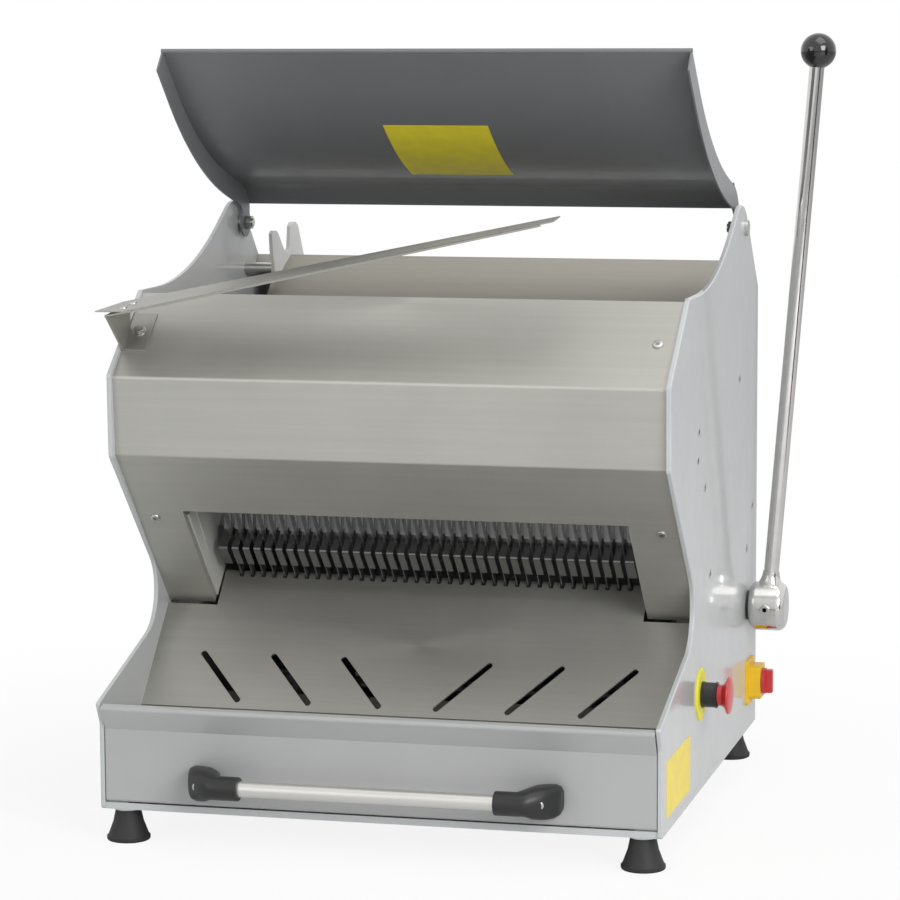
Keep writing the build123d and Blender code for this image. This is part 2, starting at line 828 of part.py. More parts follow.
# Hand lever
hub_low_x = collar_face_x + side_gap
hub_mid_x = hub_low_x + hub_length / 2
rod_foot = Vector(hub_mid_x, shaft_y, shaft_z)
ball_centre = Vector(ball_x, shaft_y, ball_z)
rod_run = ball_centre - rod_foot
rod_dir = rod_run.normalized()
rod_low = shaft_radius + rod_foot_gap
rod_plane = Plane(origin=rod_foot + rod_dir * rod_low, z_dir=rod_dir)
rod_length_up = rod_run.length - rod_low - ball_grip
standing = (Align.CENTER, Align.CENTER, Align.MIN)
lever_rod = rod_plane * Cylinder(rod_radius, rod_length_up, align=standing)
hub = bar(shaft_y, shaft_z, hub_radius, hub_low_x, hub_low_x + hub_length)
hub = fillet(hub.edges().filter_by(GeomType.CIRCLE), hub_round)
neck_plane = Plane(origin=rod_foot + rod_dir * (hub_radius - hub_neck_overlap), z_dir=rod_dir)
hub += neck_plane * Cone(hub_neck_radius, hub_neck_top_radius, hub_neck_length, align=standing)
hub -= lever_rod
hub -= bar(shaft_y, shaft_z, shaft_radius, 0, shaft_high_x)
set_screw = Rot(90, 0, 0) * Cylinder(set_screw_radius, set_screw_length)
set_screw = Pos(hub_mid_x, shaft_y - hub_radius, shaft_z) * set_screw
nodes["lever_hub"] = hub - set_screw
nodes["lever_rod"] = lever_rod
nodes["lever_ball"] = Pos(*ball_centre) * Sphere(ball_radius) - lever_rod
nodes["hub_set_screw"] = set_screw

# Hold-down comb
hold_x = [(k - (finger_count - 1) / 2) * slice_pitch for k in range(finger_count)]
hold_face = bent_sheet([hold_tip, hold_knee, hold_hinge], hold_wall, hold_bend)
hold_half = hold_x[-1] + hold_finger_width / 2
hold_comb = bar(*hold_hinge, hold_tube_radius, -hold_half, hold_half)
for x in hold_x:
    hold_comb += across(hold_face, x - hold_finger_width / 2, x + hold_finger_width / 2)
hold_comb -= bar(*hold_hinge, hold_rod_radius, -body_width, body_width)
nodes["hold_down_comb"] = hold_comb
hold_rod_half = guide_inner + guide_wall
nodes["hold_down_rod"] = bar(*hold_hinge, hold_rod_radius, -hold_rod_half, hold_rod_half)

# Lid: drawn shut, then opened
slope = radians(horn_slope)
curve_run = horn_curve * tan(slope / 2)
lid_start = (lid_front_y, roof_level)
curve_start = (horn_foot_y - curve_run, roof_level)
curve_end = (horn_foot_y + curve_run * cos(slope), roof_level + curve_run * sin(slope))
rear_fall = atan2(horn_top[1] - rear_top, body_depth - horn_top_y)
peak_run = horn_peak_radius * tan((slope + rear_fall) / 2)
peak_start = (horn_top[0] - peak_run * cos(slope), horn_top[1] - peak_run * sin(slope))
peak_centre = (peak_start[0] + horn_peak_radius * sin(slope), peak_start[1] - horn_peak_radius * cos(slope))
lid_rear = (lid_rear_y, peak_centre[1] + (horn_peak_radius**2 - (lid_rear_y - peak_centre[0]) ** 2) ** 0.5)
lid_line = Line(lid_start, curve_start)
lid_line += TangentArc(curve_start, curve_end, tangent=(1, 0))
lid_line += Line(curve_end, peak_start)
lid_line += TangentArc(peak_start, lid_rear, tangent=(cos(slope), sin(slope)))
lid_band = offset(lid_line, lid_wall, side=Side.LEFT)
lid_skin = across(make_face(lid_band), -lid_cheek_outer, lid_cheek_outer)
lip = bar(lid_front_y, roof_level + lid_lip / 2, lid_lip / 2, -lid_cheek_outer, lid_cheek_outer)
lid_skin += lip
cheek_band = make_face(offset(lid_line, lid_cheek_depth, side=Side.RIGHT))
arm_tab = Pos(*lid_pivot) * Circle(lid_arm_radius)
cheek_arm_corners = [
    (lid_pivot[0] - lid_arm_radius, lid_pivot[1]),
    (lid_pivot[0] + lid_arm_radius, lid_pivot[1]),
    (lid_rear[0] + lid_cheek_wall, lid_rear[1]),
    (lid_rear[0] + lid_cheek_wall - lid_arm_root, lid_rear[1]),
]
cheek_face = cheek_band + arm_tab + outline(cheek_arm_corners)
cheek_face -= Pos(*lid_pivot) * Circle(lid_bolt_radius + running)
cheek = across(cheek_face, lid_cheek_outer - lid_cheek_wall, lid_cheek_outer)
lid = lid_skin
for side in both_sides(cheek):
    lid += side


def lid_opened(piece):
    """The lid piece swung up about its pivot bolts."""
    return turned_about(piece, *lid_pivot, -lid_open)


nodes["lid"] = lid_opened(lid)
cheek_inner = lid_cheek_outer - lid_cheek_wall
bolt = bar(*lid_pivot, lid_bolt_radius, cheek_inner - bolt_past_cheek, body_width / 2)
bolt += bar(*lid_pivot, bolt_head_radius, body_width / 2, body_width / 2 + bolt_head_height)
nut_low = cheek_inner - side_gap - lid_nut_height
nut = across(Pos(*lid_pivot) * RegularPolygon(lid_nut_radius, 6), nut_low, nut_low + lid_nut_height)
spacer = bar(*lid_pivot, lid_spacer_radius, lid_cheek_outer + side_gap, inner_half)
nut -= bolt
spacer -= bar(*lid_pivot, lid_bolt_radius, 0, body_width)
nodes["lid_bolts"] = Compound(both_sides(bolt) + both_sides(nut) + both_sides(spacer))

# Crumb drawer
front_path = [
    (drawer_front_y + drawer_foot_return, drawer_bottom),
    (drawer_front_y, drawer_bottom),
    (drawer_front_y, drawer_fold_z),
    drawer_lip,
    (drawer_lip[0] + drawer_lip_return[0], drawer_lip[1] + drawer_lip_return[1]),
]
drawer_half = inner_half - drawer_gap
drawer_face = bent_sheet(front_path[::-1], sheet, fold_radius)
nodes["drawer_front"] = across(drawer_face, -drawer_half, drawer_half)
tray_low = drawer_bottom + sheet
tray_near = drawer_front_y + sheet + fold_radius
tray_depth = crank_y - belt_reach - tray_back_gap - tray_near
tray = Pos(0, tray_near, tray_low) * Box(
    2 * tray_half, tray_depth, tray_top - tray_low, align=(Align.CENTER, Align.MIN, Align.MIN)
)
tray -= Pos(0, tray_near + tray_wall, tray_low + tray_wall) * Box(
    2 * (tray_half - tray_wall),
    tray_depth - 2 * tray_wall,
    tray_top,
    align=(Align.CENTER, Align.MIN, Align.MIN),
)
nodes["crumb_tray"] = tray
pull_tube = bar(tube_y, tube_z, tube_radius, -tube_half, tube_half)
pull_tube -= bar(tube_y, tube_z, tube_radius - tube_wall, -body_width, body_width)
nodes["pull_tube"] = pull_tube
socket_range = (bracket_x - bracket_width / 2, bracket_x + bracket_width / 2)
socket = disc(tube_y, tube_z, bracket_socket_radius, *socket_range, bracket_rim)
neck_points = [
    (tube_y, tube_z + bracket_neck_rise),
    (tube_y, tube_z - bracket_neck_rise),
    (drawer_front_y, tube_z - bracket_foot_height / 2),
    (drawer_front_y, tube_z + bracket_foot_height / 2),
]
neck = across(outline(neck_points), bracket_neck_low_x, socket_range[1])
foot_plate = Pos(bracket_x + bracket_foot_shift, drawer_front_y, tube_z) * Box(
    bracket_foot_length,
    bracket_foot_wall,
    bracket_foot_height,
    align=(Align.CENTER, Align.MAX, Align.CENTER),
)
foot_plate = fillet(foot_plate.edges().filter_by(Axis.Y), bracket_foot_corner)
bracket = socket + neck + foot_plate
bracket -= bar(tube_y, tube_z, tube_radius, 0, tube_half)
nodes["pull_brackets"] = Compound(both_sides(bracket))


def inside_block(x, y, z, across_x, along_y, up_z):
    """Block centred on x, with its front and bottom at y and z."""
    return Pos(x, y, z) * Box(across_x, along_y, up_z, align=(Align.CENTER, Align.MIN, Align.MIN))


runner_z = drawer_bottom - side_gap - sheet
runner_near = pan_front_y + sheet + side_gap
runner_far = tray_near + tray_depth
runner_sheet = (runner_width, runner_far - runner_near, sheet)
runner = inside_block(inner_half - runner_width / 2, runner_near, runner_z, *runner_sheet)
web_near = drawer_front_y + drawer_foot_return + sheet
runner_wall = (sheet, runner_far - web_near, runner_web)
runner += inside_block(inner_half - sheet / 2, web_near, runner_z, *runner_wall)
nodes["drawer_runners"] = Compound(both_sides(runner))

# Base pan, rear cover and tie bars
pan_depth = body_depth - pan_front_y - sheet
pan = inside_block(0, pan_front_y, foot_height, 2 * inner_half, pan_depth, sheet)
pan_lip = drawer_bottom - foot_height - 1
pan += inside_block(0, pan_front_y, foot_height, 2 * inner_half, sheet, pan_lip)
nodes["base_pan"] = pan
chute_edge = grid_point(chute_top_u, 0)
cover_end = (chute_edge[0] + cover_lip[0], chute_edge[1] + cover_lip[1])
rear_path = [(body_depth, foot_height), (body_depth, rear_top), cover_end]
rear_cover = across(bent_sheet(rear_path, sheet, hood_bend), -inner_half, inner_half)
for k in range(louvre_count):
    slot = extrude(SlotOverall(louvre_length, louvre_height), 2 * sheet, both=True)
    rear_cover -= Pos(louvre_x, body_depth, louvre_low_z + k * louvre_pitch) * Rot(90, 0, 0) * slot
nodes["rear_cover"] = rear_cover
nodes["tie_bars"] = Compound([bar(y, z, tie_radius, -inner_half, inner_half) for y, z in tie_places])
gland = Cylinder(gland_radius, gland_base, align=standing)
gland += Cylinder(gland_nut_radius, gland_length, align=standing)
nodes["cable_gland"] = Pos(gland_x, body_depth, gland_z) * Rot(-90, 0, 0) * gland

# Feet
feet = []
washers = []
for x in (-foot_x, foot_x):
    for y in (foot_front_y, foot_rear_y):
        cone_height = foot_height - foot_washer_wall
        feet.append(Pos(x, y, 0) * Cone(foot_low_radius, foot_top_radius, cone_height, align=standing))
        washer = Cylinder(foot_washer_radius, foot_washer_wall, align=standing)
        washers.append(Pos(x, y, cone_height) * washer)
nodes["feet"] = Compound(feet)
nodes["foot_washers"] = Compound(washers)

# Electric controls
wall_x = body_width / 2
nodes["stop_ring"] = disc(stop_y, stop_z, stop_ring_radius, wall_x, wall_x + stop_ring_wall, 0.5)
barrel_low = wall_x + stop_ring_wall
nodes["stop_barrel"] = bar(stop_y, stop_z, stop_barrel_radius, barrel_low, barrel_low + stop_barrel_length)
cap_low = barrel_low + stop_barrel_length + stop_travel + side_gap
stem = bar(stop_y, stop_z, stop_stem_radius, barrel_low + stop_stem_radius, cap_low + 1)
barrel_bore = bar(stop_y, stop_z, stop_stem_radius + running, barrel_low + 1, cap_low)
nodes["stop_barrel"] -= barrel_bore
skirt_end = cap_low + stop_skirt_length
cap_profile = [
    (cap_low, 0),
    (cap_low, stop_skirt_radius),
    (skirt_end - 1, (stop_skirt_radius + stop_cap_radius) / 2),
    (skirt_end, stop_cap_radius - 1),
    (skirt_end + 1, stop_cap_radius),
    (cap_low + stop_cap_length - 2, stop_cap_radius - 0.5),
    (cap_low + stop_cap_length - 0.7, stop_cap_radius * 0.8),
    (cap_low + stop_cap_length, stop_cap_radius * 0.4),
    (cap_low + stop_cap_length, 0),
]
nodes["stop_button"] = turned(cap_profile, stop_y, stop_z) + stem
beside_wall = (Align.MIN, Align.CENTER, Align.CENTER)
switch_place = Pos(wall_x, switch_y, switch_z)
switch_body = Box(*switch_flange, align=beside_wall) + Box(*switch_box, align=beside_wall)
switch_body = fillet(switch_body.edges().filter_by(Axis.X), switch_flange_corner)
nodes["switch_box"] = switch_place * switch_body
knob_low = wall_x + switch_box[0] + side_gap
knob_range = (knob_low, knob_low + switch_knob_disc)
knob = bar(switch_y, switch_z, switch_knob_radius, *knob_range)
grip = Box(*switch_grip, align=beside_wall)
grip = chamfer(grip.faces().sort_by(Axis.X)[-1].edges(), 1)
nodes["switch_knob"] = knob + Pos(knob_low, switch_y, switch_z) * grip

# Bagging scoop on its bracket
scoop_x_dir = Vector(cos(radians(scoop_rise)), 0, sin(radians(scoop_rise)))
scoop_y_dir = Vector(0, cos(radians(scoop_tilt)), sin(radians(scoop_tilt)))
scoop_plane = Plane(origin=scoop_base, x_dir=scoop_x_dir, z_dir=scoop_x_dir.cross(scoop_y_dir))
tip_low = (scoop_base_width - scoop_tip_width) / 2 + scoop_skew
tip_high = tip_low + scoop_tip_width
scoop_face = make_face(
    FilletPolyline(
        (0, 0),
        (scoop_length, tip_low),
        (scoop_length, tip_high),
        (0, scoop_base_width),
        radius=[scoop_base_corner, scoop_corner, scoop_corner, scoop_base_corner],
        close=True,
    )
)
scoop = extrude(scoop_face, scoop_wall)
near_edge = (Vector(0, 0), Vector(scoop_length, tip_low))
far_edge = (Vector(scoop_length, tip_high), Vector(0, scoop_base_width))
for (start, end), (start_gap, end_gap) in ((near_edge, scoop_lip_ends), (far_edge, scoop_lip_ends[::-1])):
    along = (end - start).normalized()
    inward = Vector(-along.Y, along.X) * scoop_wall
    low = start + along * start_gap
    high = end - along * end_gap
    lip_corners = [low, high, high + inward, low + inward]
    lip_face = make_face(Polyline(*[(p.X, p.Y) for p in lip_corners], close=True))
    scoop += extrude(lip_face, -scoop_lip)
nodes["scoop"] = scoop_plane * scoop

bracket_low_x = -inner_half + sheet
bracket_high_x = bracket_low_x + gusset_width


def scoop_under(x, y):
    """Height of the scoop's underside at a place."""
    normal = scoop_plane.z_dir
    return scoop_base[2] - (normal.X * (x - scoop_base[0]) + normal.Y * (y - scoop_base[1])) / normal.Z


def hood_roof(y):
    """Height of the hood's upper facet at y."""
    return hood_crease_high[1] + (y - hood_crease_high[0]) * roof_run.Y / roof_run.X


foot_low_y, foot_high_y = gusset_foot_y
bracket_middle = (bracket_low_x + gusset_width / 2 - scoop_base[0]) / cos(radians(scoop_rise))
tab_y, tab_length, tab_wall = gusset_tab
tab = Box(gusset_width, tab_length, tab_wall, align=(Align.CENTER, Align.CENTER, Align.MAX))
scoop_bracket = scoop_plane * Pos(bracket_middle, tab_y, 0) * tab
for low_x in (bracket_low_x, bracket_high_x - gusset_wall):
    corners = [
        (foot_low_y, hood_roof(foot_low_y)),
        (foot_high_y, hood_roof(foot_high_y)),
        (foot_high_y, scoop_under(low_x, foot_high_y) - gusset_tab_gap),
        (gusset_front_y, scoop_under(low_x, gusset_front_y) - gusset_tab_gap),
    ]
    scoop_bracket += across(outline(corners), low_x, low_x + gusset_wall)
foot_tip = Vector(foot_high_y, hood_roof(foot_high_y))
foot_heel = Vector(foot_low_y, hood_roof(foot_low_y))
foot_rise = roof_out * gusset_foot_wall
foot_corners = [foot_heel, foot_tip, foot_tip + foot_rise, foot_heel + foot_rise]
scoop_bracket += across(outline([(p.X, p.Y) for p in foot_corners]), bracket_low_x, bracket_high_x)
nodes["scoop_bracket"] = scoop_bracket
scoop_screw = Cylinder(scoop_screw_radius, scoop_screw_height, align=standing)
scoop_screws = [scoop_plane * Pos(x, y, scoop_wall) * scoop_screw for x, y in scoop_screw_places]
nodes["hood_screws"] = Compound(hood_screws + scoop_screws)

# Fork plate, spacer bolt and lid buffer on the left
fork_foot_y = chute_edge[0] + fork_front
fork_points = [(fork_foot_y, chute_floor_z(fork_foot_y)), chute_edge]
fork_points += [(chute_edge[0] + y, chute_edge[1] + z) for y, z in fork_corners]
nodes["fork_plate"] = across(outline(fork_points, fork_radii), fork_low_x, fork_low_x + fork_wall)
spacer_y, spacer_z = (chute_edge[0] + spacer_place[0], chute_edge[1] + spacer_place[1])
nodes["fork_spacer"] = bar(spacer_y, spacer_z, spacer_radius, -inner_half, fork_low_x)
under_end = Vector(hood_top_y, hood_top_z) - roof_out * hood_wall
under_low = under_end - roof_run.normalized() * buffer_hook
buffer_points = [
    (hood_top_y, hood_top_z),
    (hood_top_y + buffer_depth, hood_top_z),
    (hood_top_y + buffer_depth, hood_top_z - buffer_depth),
    (under_low.X, hood_top_z - buffer_depth),
    (under_low.X, under_low.Y),
    (under_end.X, under_end.Y),
]
nodes["lid_buffer"] = across(outline(buffer_points), buffer_low_x, buffer_low_x + buffer_length)

# Flush screws of the side plates
plate_screws = []
for y, z in front_screw_places + rear_screw_places:
    plate_screws += both_sides(bar(y, z, plate_screw_radius, wall_x, wall_x + plate_screw_height))
nodes["plate_screws"] = Compound(plate_screws)

os.makedirs("parts", exist_ok=True)
for name, piece in nodes.items():
    export_step(piece, f"parts/{name}.step")
print(len(nodes), "nodes")
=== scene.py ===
"""The bread slicer's finishes and fine pieces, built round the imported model. Metres, same frame."""

import json
from math import cos, pi, radians, sin

import bmesh
import bpy
from mathutils import Euler, Matrix, Vector
from mathutils.bvhtree import BVHTree

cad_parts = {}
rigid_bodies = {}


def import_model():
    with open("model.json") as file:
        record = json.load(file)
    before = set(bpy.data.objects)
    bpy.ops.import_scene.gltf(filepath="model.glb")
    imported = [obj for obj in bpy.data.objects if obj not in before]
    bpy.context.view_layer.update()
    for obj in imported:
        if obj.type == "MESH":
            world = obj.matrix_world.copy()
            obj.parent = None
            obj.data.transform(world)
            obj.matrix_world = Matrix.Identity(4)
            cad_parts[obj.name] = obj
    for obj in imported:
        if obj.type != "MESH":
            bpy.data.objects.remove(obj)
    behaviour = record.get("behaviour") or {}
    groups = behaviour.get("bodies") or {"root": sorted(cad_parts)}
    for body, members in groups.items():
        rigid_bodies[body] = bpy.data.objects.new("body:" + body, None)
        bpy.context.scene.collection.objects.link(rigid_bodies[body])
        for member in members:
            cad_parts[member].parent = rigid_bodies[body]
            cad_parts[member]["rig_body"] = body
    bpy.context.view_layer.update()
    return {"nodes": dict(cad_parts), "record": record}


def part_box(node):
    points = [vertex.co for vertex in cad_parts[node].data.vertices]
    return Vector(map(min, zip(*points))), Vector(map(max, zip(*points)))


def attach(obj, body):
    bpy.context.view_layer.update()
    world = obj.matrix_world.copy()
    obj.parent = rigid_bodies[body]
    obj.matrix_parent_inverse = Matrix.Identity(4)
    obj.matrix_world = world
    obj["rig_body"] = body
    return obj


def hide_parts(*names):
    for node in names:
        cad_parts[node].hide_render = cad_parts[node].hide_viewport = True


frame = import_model()
nodes = frame["nodes"]
slot_of = {part["node"]: part["material_slot"] for part in frame["record"]["subparts"]}
body_of = {name: obj["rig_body"] for name, obj in nodes.items()}
MM = 0.001

# Camera and studio
CAMERA_PLACE = (0.91775, -3.30835, 0.87953)
CAMERA_TURN = 14.196
CAMERA_TIP = 7.554
CAMERA_ROLL = -0.2885
CAMERA_LENS = 136.35
FLOOR_HALF = 12
FLOOR_SHADE = (0.86, 0.86, 0.86)
FLOOR_GLOW = 0.88
FLOOR_FADE = (0.55, 1.3)
AMBIENT = (0.5, 0.505, 0.515)

# Slicing grid
CHUTE_ANGLE = radians(39)
UP_CHUTE = Vector((0, cos(CHUTE_ANGLE), sin(CHUTE_ANGLE)))
UP_BLADE = Vector((0, -sin(CHUTE_ANGLE), cos(CHUTE_ANGLE)))

# Blades
BLADES_PER_FRAME = 18
TOOTH_PITCH = 9 * MM
TOOTH_DEPTH = 1.7 * MM
TOOTH_STEPS = 4
BLADE_WALL = 0.5 * MM

# Hand lever
HUB_RADIUS = 28 * MM
HUB_ROUND = 9 * MM
ROD_RADIUS = 8.5 * MM
BALL_RADIUS = 20 * MM
NECK_RADIUS = 16 * MM
NECK_RISE = 18 * MM

# Bagging scoop, its corners round from the near left one, in metres
SCOOP_CORNERS = (
    (-0.303, 0.017, 0.5595),
    (-0.273, 0.0224, 0.5596),
    (0.1741, 0.0617, 0.6551),
    (0.1741, 0.0963, 0.6584),
    (-0.300, 0.100, 0.5625),
)
SCOOP_WALL = 1.2 * MM
SCOOP_HEM = 3 * MM
SCOOP_SCREWS = ((-0.2814, 0.045), (-0.2786, 0.068))

# Scoop bracket: outline of its cheek and run of its foot on the roof, as (Y, Z)
CHEEK = ((0.022, 0.5545), (0.075, 0.5122), (0.098, 0.5308), (0.098, 0.5605))
CHEEK_WALL = 2.2 * MM
FOOT_RUN = ((0.075, 0.5122), (0.118, 0.547))
FOOT_WALL = 2 * MM
FOOT_WIDTH = 26 * MM
ROOF_NORMAL = Vector((0, -0.6286, 0.7777))

# Fork plate: its place, its run and its outline along the run and upwards
FORK_HEEL = (-0.262, 0.528)
FORK_RUN = (0.2211, 0.9753)
FORK_WALL = 5 * MM
FORK_OUTLINE = (
    (-0.004, 0.5609), (-0.0085, 0.587), (-0.0098, 0.606), (-0.0065, 0.6095), (0.001, 0.6093),
    (0.0045, 0.6065), (0.0175, 0.5875), (0.0225, 0.5832), (0.028, 0.5835), (0.0312, 0.588),
    (0.0335, 0.6125), (0.038, 0.617), (0.0465, 0.6172), (0.0525, 0.6125), (0.068, 0.57),
    (0.070, 0.5609),
)

# Liners of the mouth, beside the comb, as (Y, Z)
LINER = ((0.125, 0.332), (0.2215, 0.2285), (0.2475, 0.2535), (0.262, 0.28), (0.2, 0.36))
LINER_PLACE = 0.24
LINER_WALL = 2 * MM

# Pull brackets: distance from the middle, depth, height, half depth and half height
PULL_SECTIONS = (
    (0.1350, -0.0380, 0.0740, 0.0118, 0.0118),
    (0.1360, -0.0380, 0.0740, 0.0125, 0.0125),
    (0.1580, -0.0380, 0.0740, 0.0125, 0.0125),
    (0.1660, -0.0270, 0.0740, 0.0235, 0.0135),
    (0.1740, -0.0225, 0.0735, 0.0245, 0.0165),
    (0.1840, -0.0175, 0.0730, 0.0215, 0.0175),
    (0.1920, -0.0130, 0.0730, 0.0170, 0.0170),
    (0.1965, -0.0085, 0.0730, 0.0115, 0.0145),
    (0.1985, -0.0060, 0.0730, 0.0070, 0.0105),
)
PULL_SQUARENESS = 2.6
PULL_SCREW = (0.1815, -0.0385, 0.074)

BUSH_BORE = 12.6 * MM
BUSH_BARREL = 16.9 * MM
BUSH_FLANGE = 8 * MM

# Small fasteners
SOCKET_SHARE = 0.46
SOCKET_DEPTH_SHARE = 0.7


class Value:
    """A number that varies over a surface. Sums and products of it add Math nodes."""

    def __init__(self, finish, socket):
        self.finish = finish
        self.socket = socket

    def worked(self, operation, first, second):
        return self.finish.node("ShaderNodeMath", {"operation": operation}, {0: first, 1: second})

    def __add__(self, other):
        return self.worked("ADD", self, other)

    def __radd__(self, other):
        return self.worked("ADD", other, self)

    def __sub__(self, other):
        return self.worked("SUBTRACT", self, other)

    def __rsub__(self, other):
        return self.worked("SUBTRACT", other, self)

    def __mul__(self, other):
        return self.worked("MULTIPLY", self, other)

    def __rmul__(self, other):
        return self.worked("MULTIPLY", other, self)

    def __truediv__(self, other):
        return self.worked("DIVIDE", self, other)

    def __pow__(self, other):
        return self.worked("POWER", self, other)


class Finish:
    """One surface finish: a material, its shader and the nodes that feed it."""

    def __init__(self, name, constants):
        self.material = bpy.data.materials.new(name)
        self.material.use_nodes = True
        self.tree = self.material.node_tree
        self.shader = self.tree.nodes["Principled BSDF"]
        for socket, value in constants.items():
            self.shader.inputs[socket].default_value = value

    def feed(self, socket, value):
        """Links a value, or sets a constant, on one socket."""
        if isinstance(value, Value):
            self.tree.links.new(value.socket, socket)
        else:
            socket.default_value = value

    def node(self, kind, settings, sockets, output=0):
        """Adds a node with its settings and the values of its sockets."""
        made = self.tree.nodes.new(kind)
        for name, value in settings.items():
            setattr(made, name, value)
        for name, value in sockets.items():
            self.feed(made.inputs[name], value)
        return Value(self, made.outputs[output])

    def grain(self, scale, stretch=(1, 1, 1), detail=3, seed=0):
        """Noise in the object's own metres, stretched along its axes."""
        place = self.node("ShaderNodeTexCoord", {}, {}, "Object")
        drawn = self.node("ShaderNodeMapping", {}, {
            "Vector": place, "Scale": stretch, "Location": (seed, seed, seed)})
        return self.node("ShaderNodeTexNoise", {}, {
            "Vector": drawn, "Scale": scale, "Detail": detail, "Roughness": 0.6})

    def spread(self, value, low, high):
        """Stretches the middle of a noise to the range 0 to 1."""
        return self.node("ShaderNodeMapRange", {"clamp": True}, {
            "Value": value, "From Min": low, "From Max": high})

    def colour(self, share, dark, light):
        """Base colour between two shades."""
        mixed = self.node("ShaderNodeMix", {"data_type": "RGBA"}, {0: share, 6: dark, 7: light}, 2)
        self.feed(self.shader.inputs["Base Color"], mixed)

    def rough(self, value):
        self.feed(self.shader.inputs["Roughness"], value)

    def bump(self, height, strength, distance):
        """Raises the surface by a noise, at its real depth in metres."""
        normal = self.node("ShaderNodeBump", {}, {
            "Strength": strength, "Distance": distance, "Height": height})
        self.feed(self.shader.inputs["Normal"], normal)


def shade(colour, share=1.0):
    """The colour, lighter or darker, with full alpha."""
    return tuple(channel * share for channel in colour) + (1.0,)


def enamel(name, colour, roughness, coat):
    """Sprayed and baked paint: a slow drift in shade, faint smudges and orange peel."""
    finish = Finish(name, {"Coat Weight": coat, "Coat Roughness": 0.07})
    drift = finish.spread(finish.grain(7, detail=2), 0.3, 0.7)
    finish.colour(drift, shade(colour, 0.965), shade(colour, 1.025))
    smudge = finish.spread(finish.grain(34, detail=6, seed=3), 0.35, 0.75)
    finish.rough(roughness + smudge * 0.09)
    finish.bump(finish.grain(650, detail=2), 0.12, 0.12 * MM)
    return finish.material


def brushed(name, colour, roughness, metallic=0.9, along=(1, 0, 0), contrast=0.07):
    """Ground stainless sheet: long fine scratches along the grain and cloudier bands."""
    stretch = tuple(0.012 if axis else 1.0 for axis in along)
    finish = Finish(name, {"Metallic": metallic, "Anisotropic": 0.35})
    scratch = finish.grain(1500, stretch, detail=4)
    band = finish.spread(finish.grain(170, stretch, detail=5, seed=5), 0.3, 0.7)
    cloud = finish.spread(finish.grain(11, detail=5, seed=9), 0.3, 0.7)
    tone = band * 0.55 + cloud * 0.45
    finish.colour(tone, shade(colour, 1 - contrast), shade(colour, 1 + contrast * 0.7))
    finish.rough(roughness + scratch * 0.12 + cloud * 0.05 - 0.09)
    finish.bump(scratch, 0.22, 0.05 * MM)
    return finish.material


def polished(name, colour, roughness):
    """Plated or polished metal with faint wiping marks."""
    finish = Finish(name, {"Metallic": 1.0})
    wipe = finish.spread(finish.grain(60, detail=6, seed=2), 0.35, 0.8)
    finish.colour(wipe, shade(colour), shade(colour, 0.9))
    finish.rough(roughness + wipe * 0.09)
    finish.bump(finish.grain(240, detail=3), 0.05, 0.05 * MM)
    return finish.material


def cast(name, colour, roughness, metallic):
    """Sand-cast or rough plated metal with a pebbled skin."""
    finish = Finish(name, {"Metallic": metallic})
    pebble = finish.grain(420, detail=5)
    finish.colour(finish.spread(pebble, 0.3, 0.7), shade(colour, 0.86), shade(colour, 1.08))
    finish.rough(roughness + pebble * 0.15)
    finish.bump(pebble, 0.35, 0.25 * MM)
    return finish.material


def moulded(name, colour, roughness, texture=0.15, coat=0.0):
    """Moulded plastic or rubber with a fine sparked skin and handling marks."""
    finish = Finish(name, {"Coat Weight": coat, "Coat Roughness": 0.1})
    skin = finish.grain(1400, detail=2)
    handling = finish.spread(finish.grain(55, detail=6, seed=4), 0.4, 0.75)
    finish.colour(handling, shade(colour), shade(colour, 1.12))
    finish.rough(roughness + handling * 0.1)
    finish.bump(skin, texture, 0.08 * MM)
    return finish.material


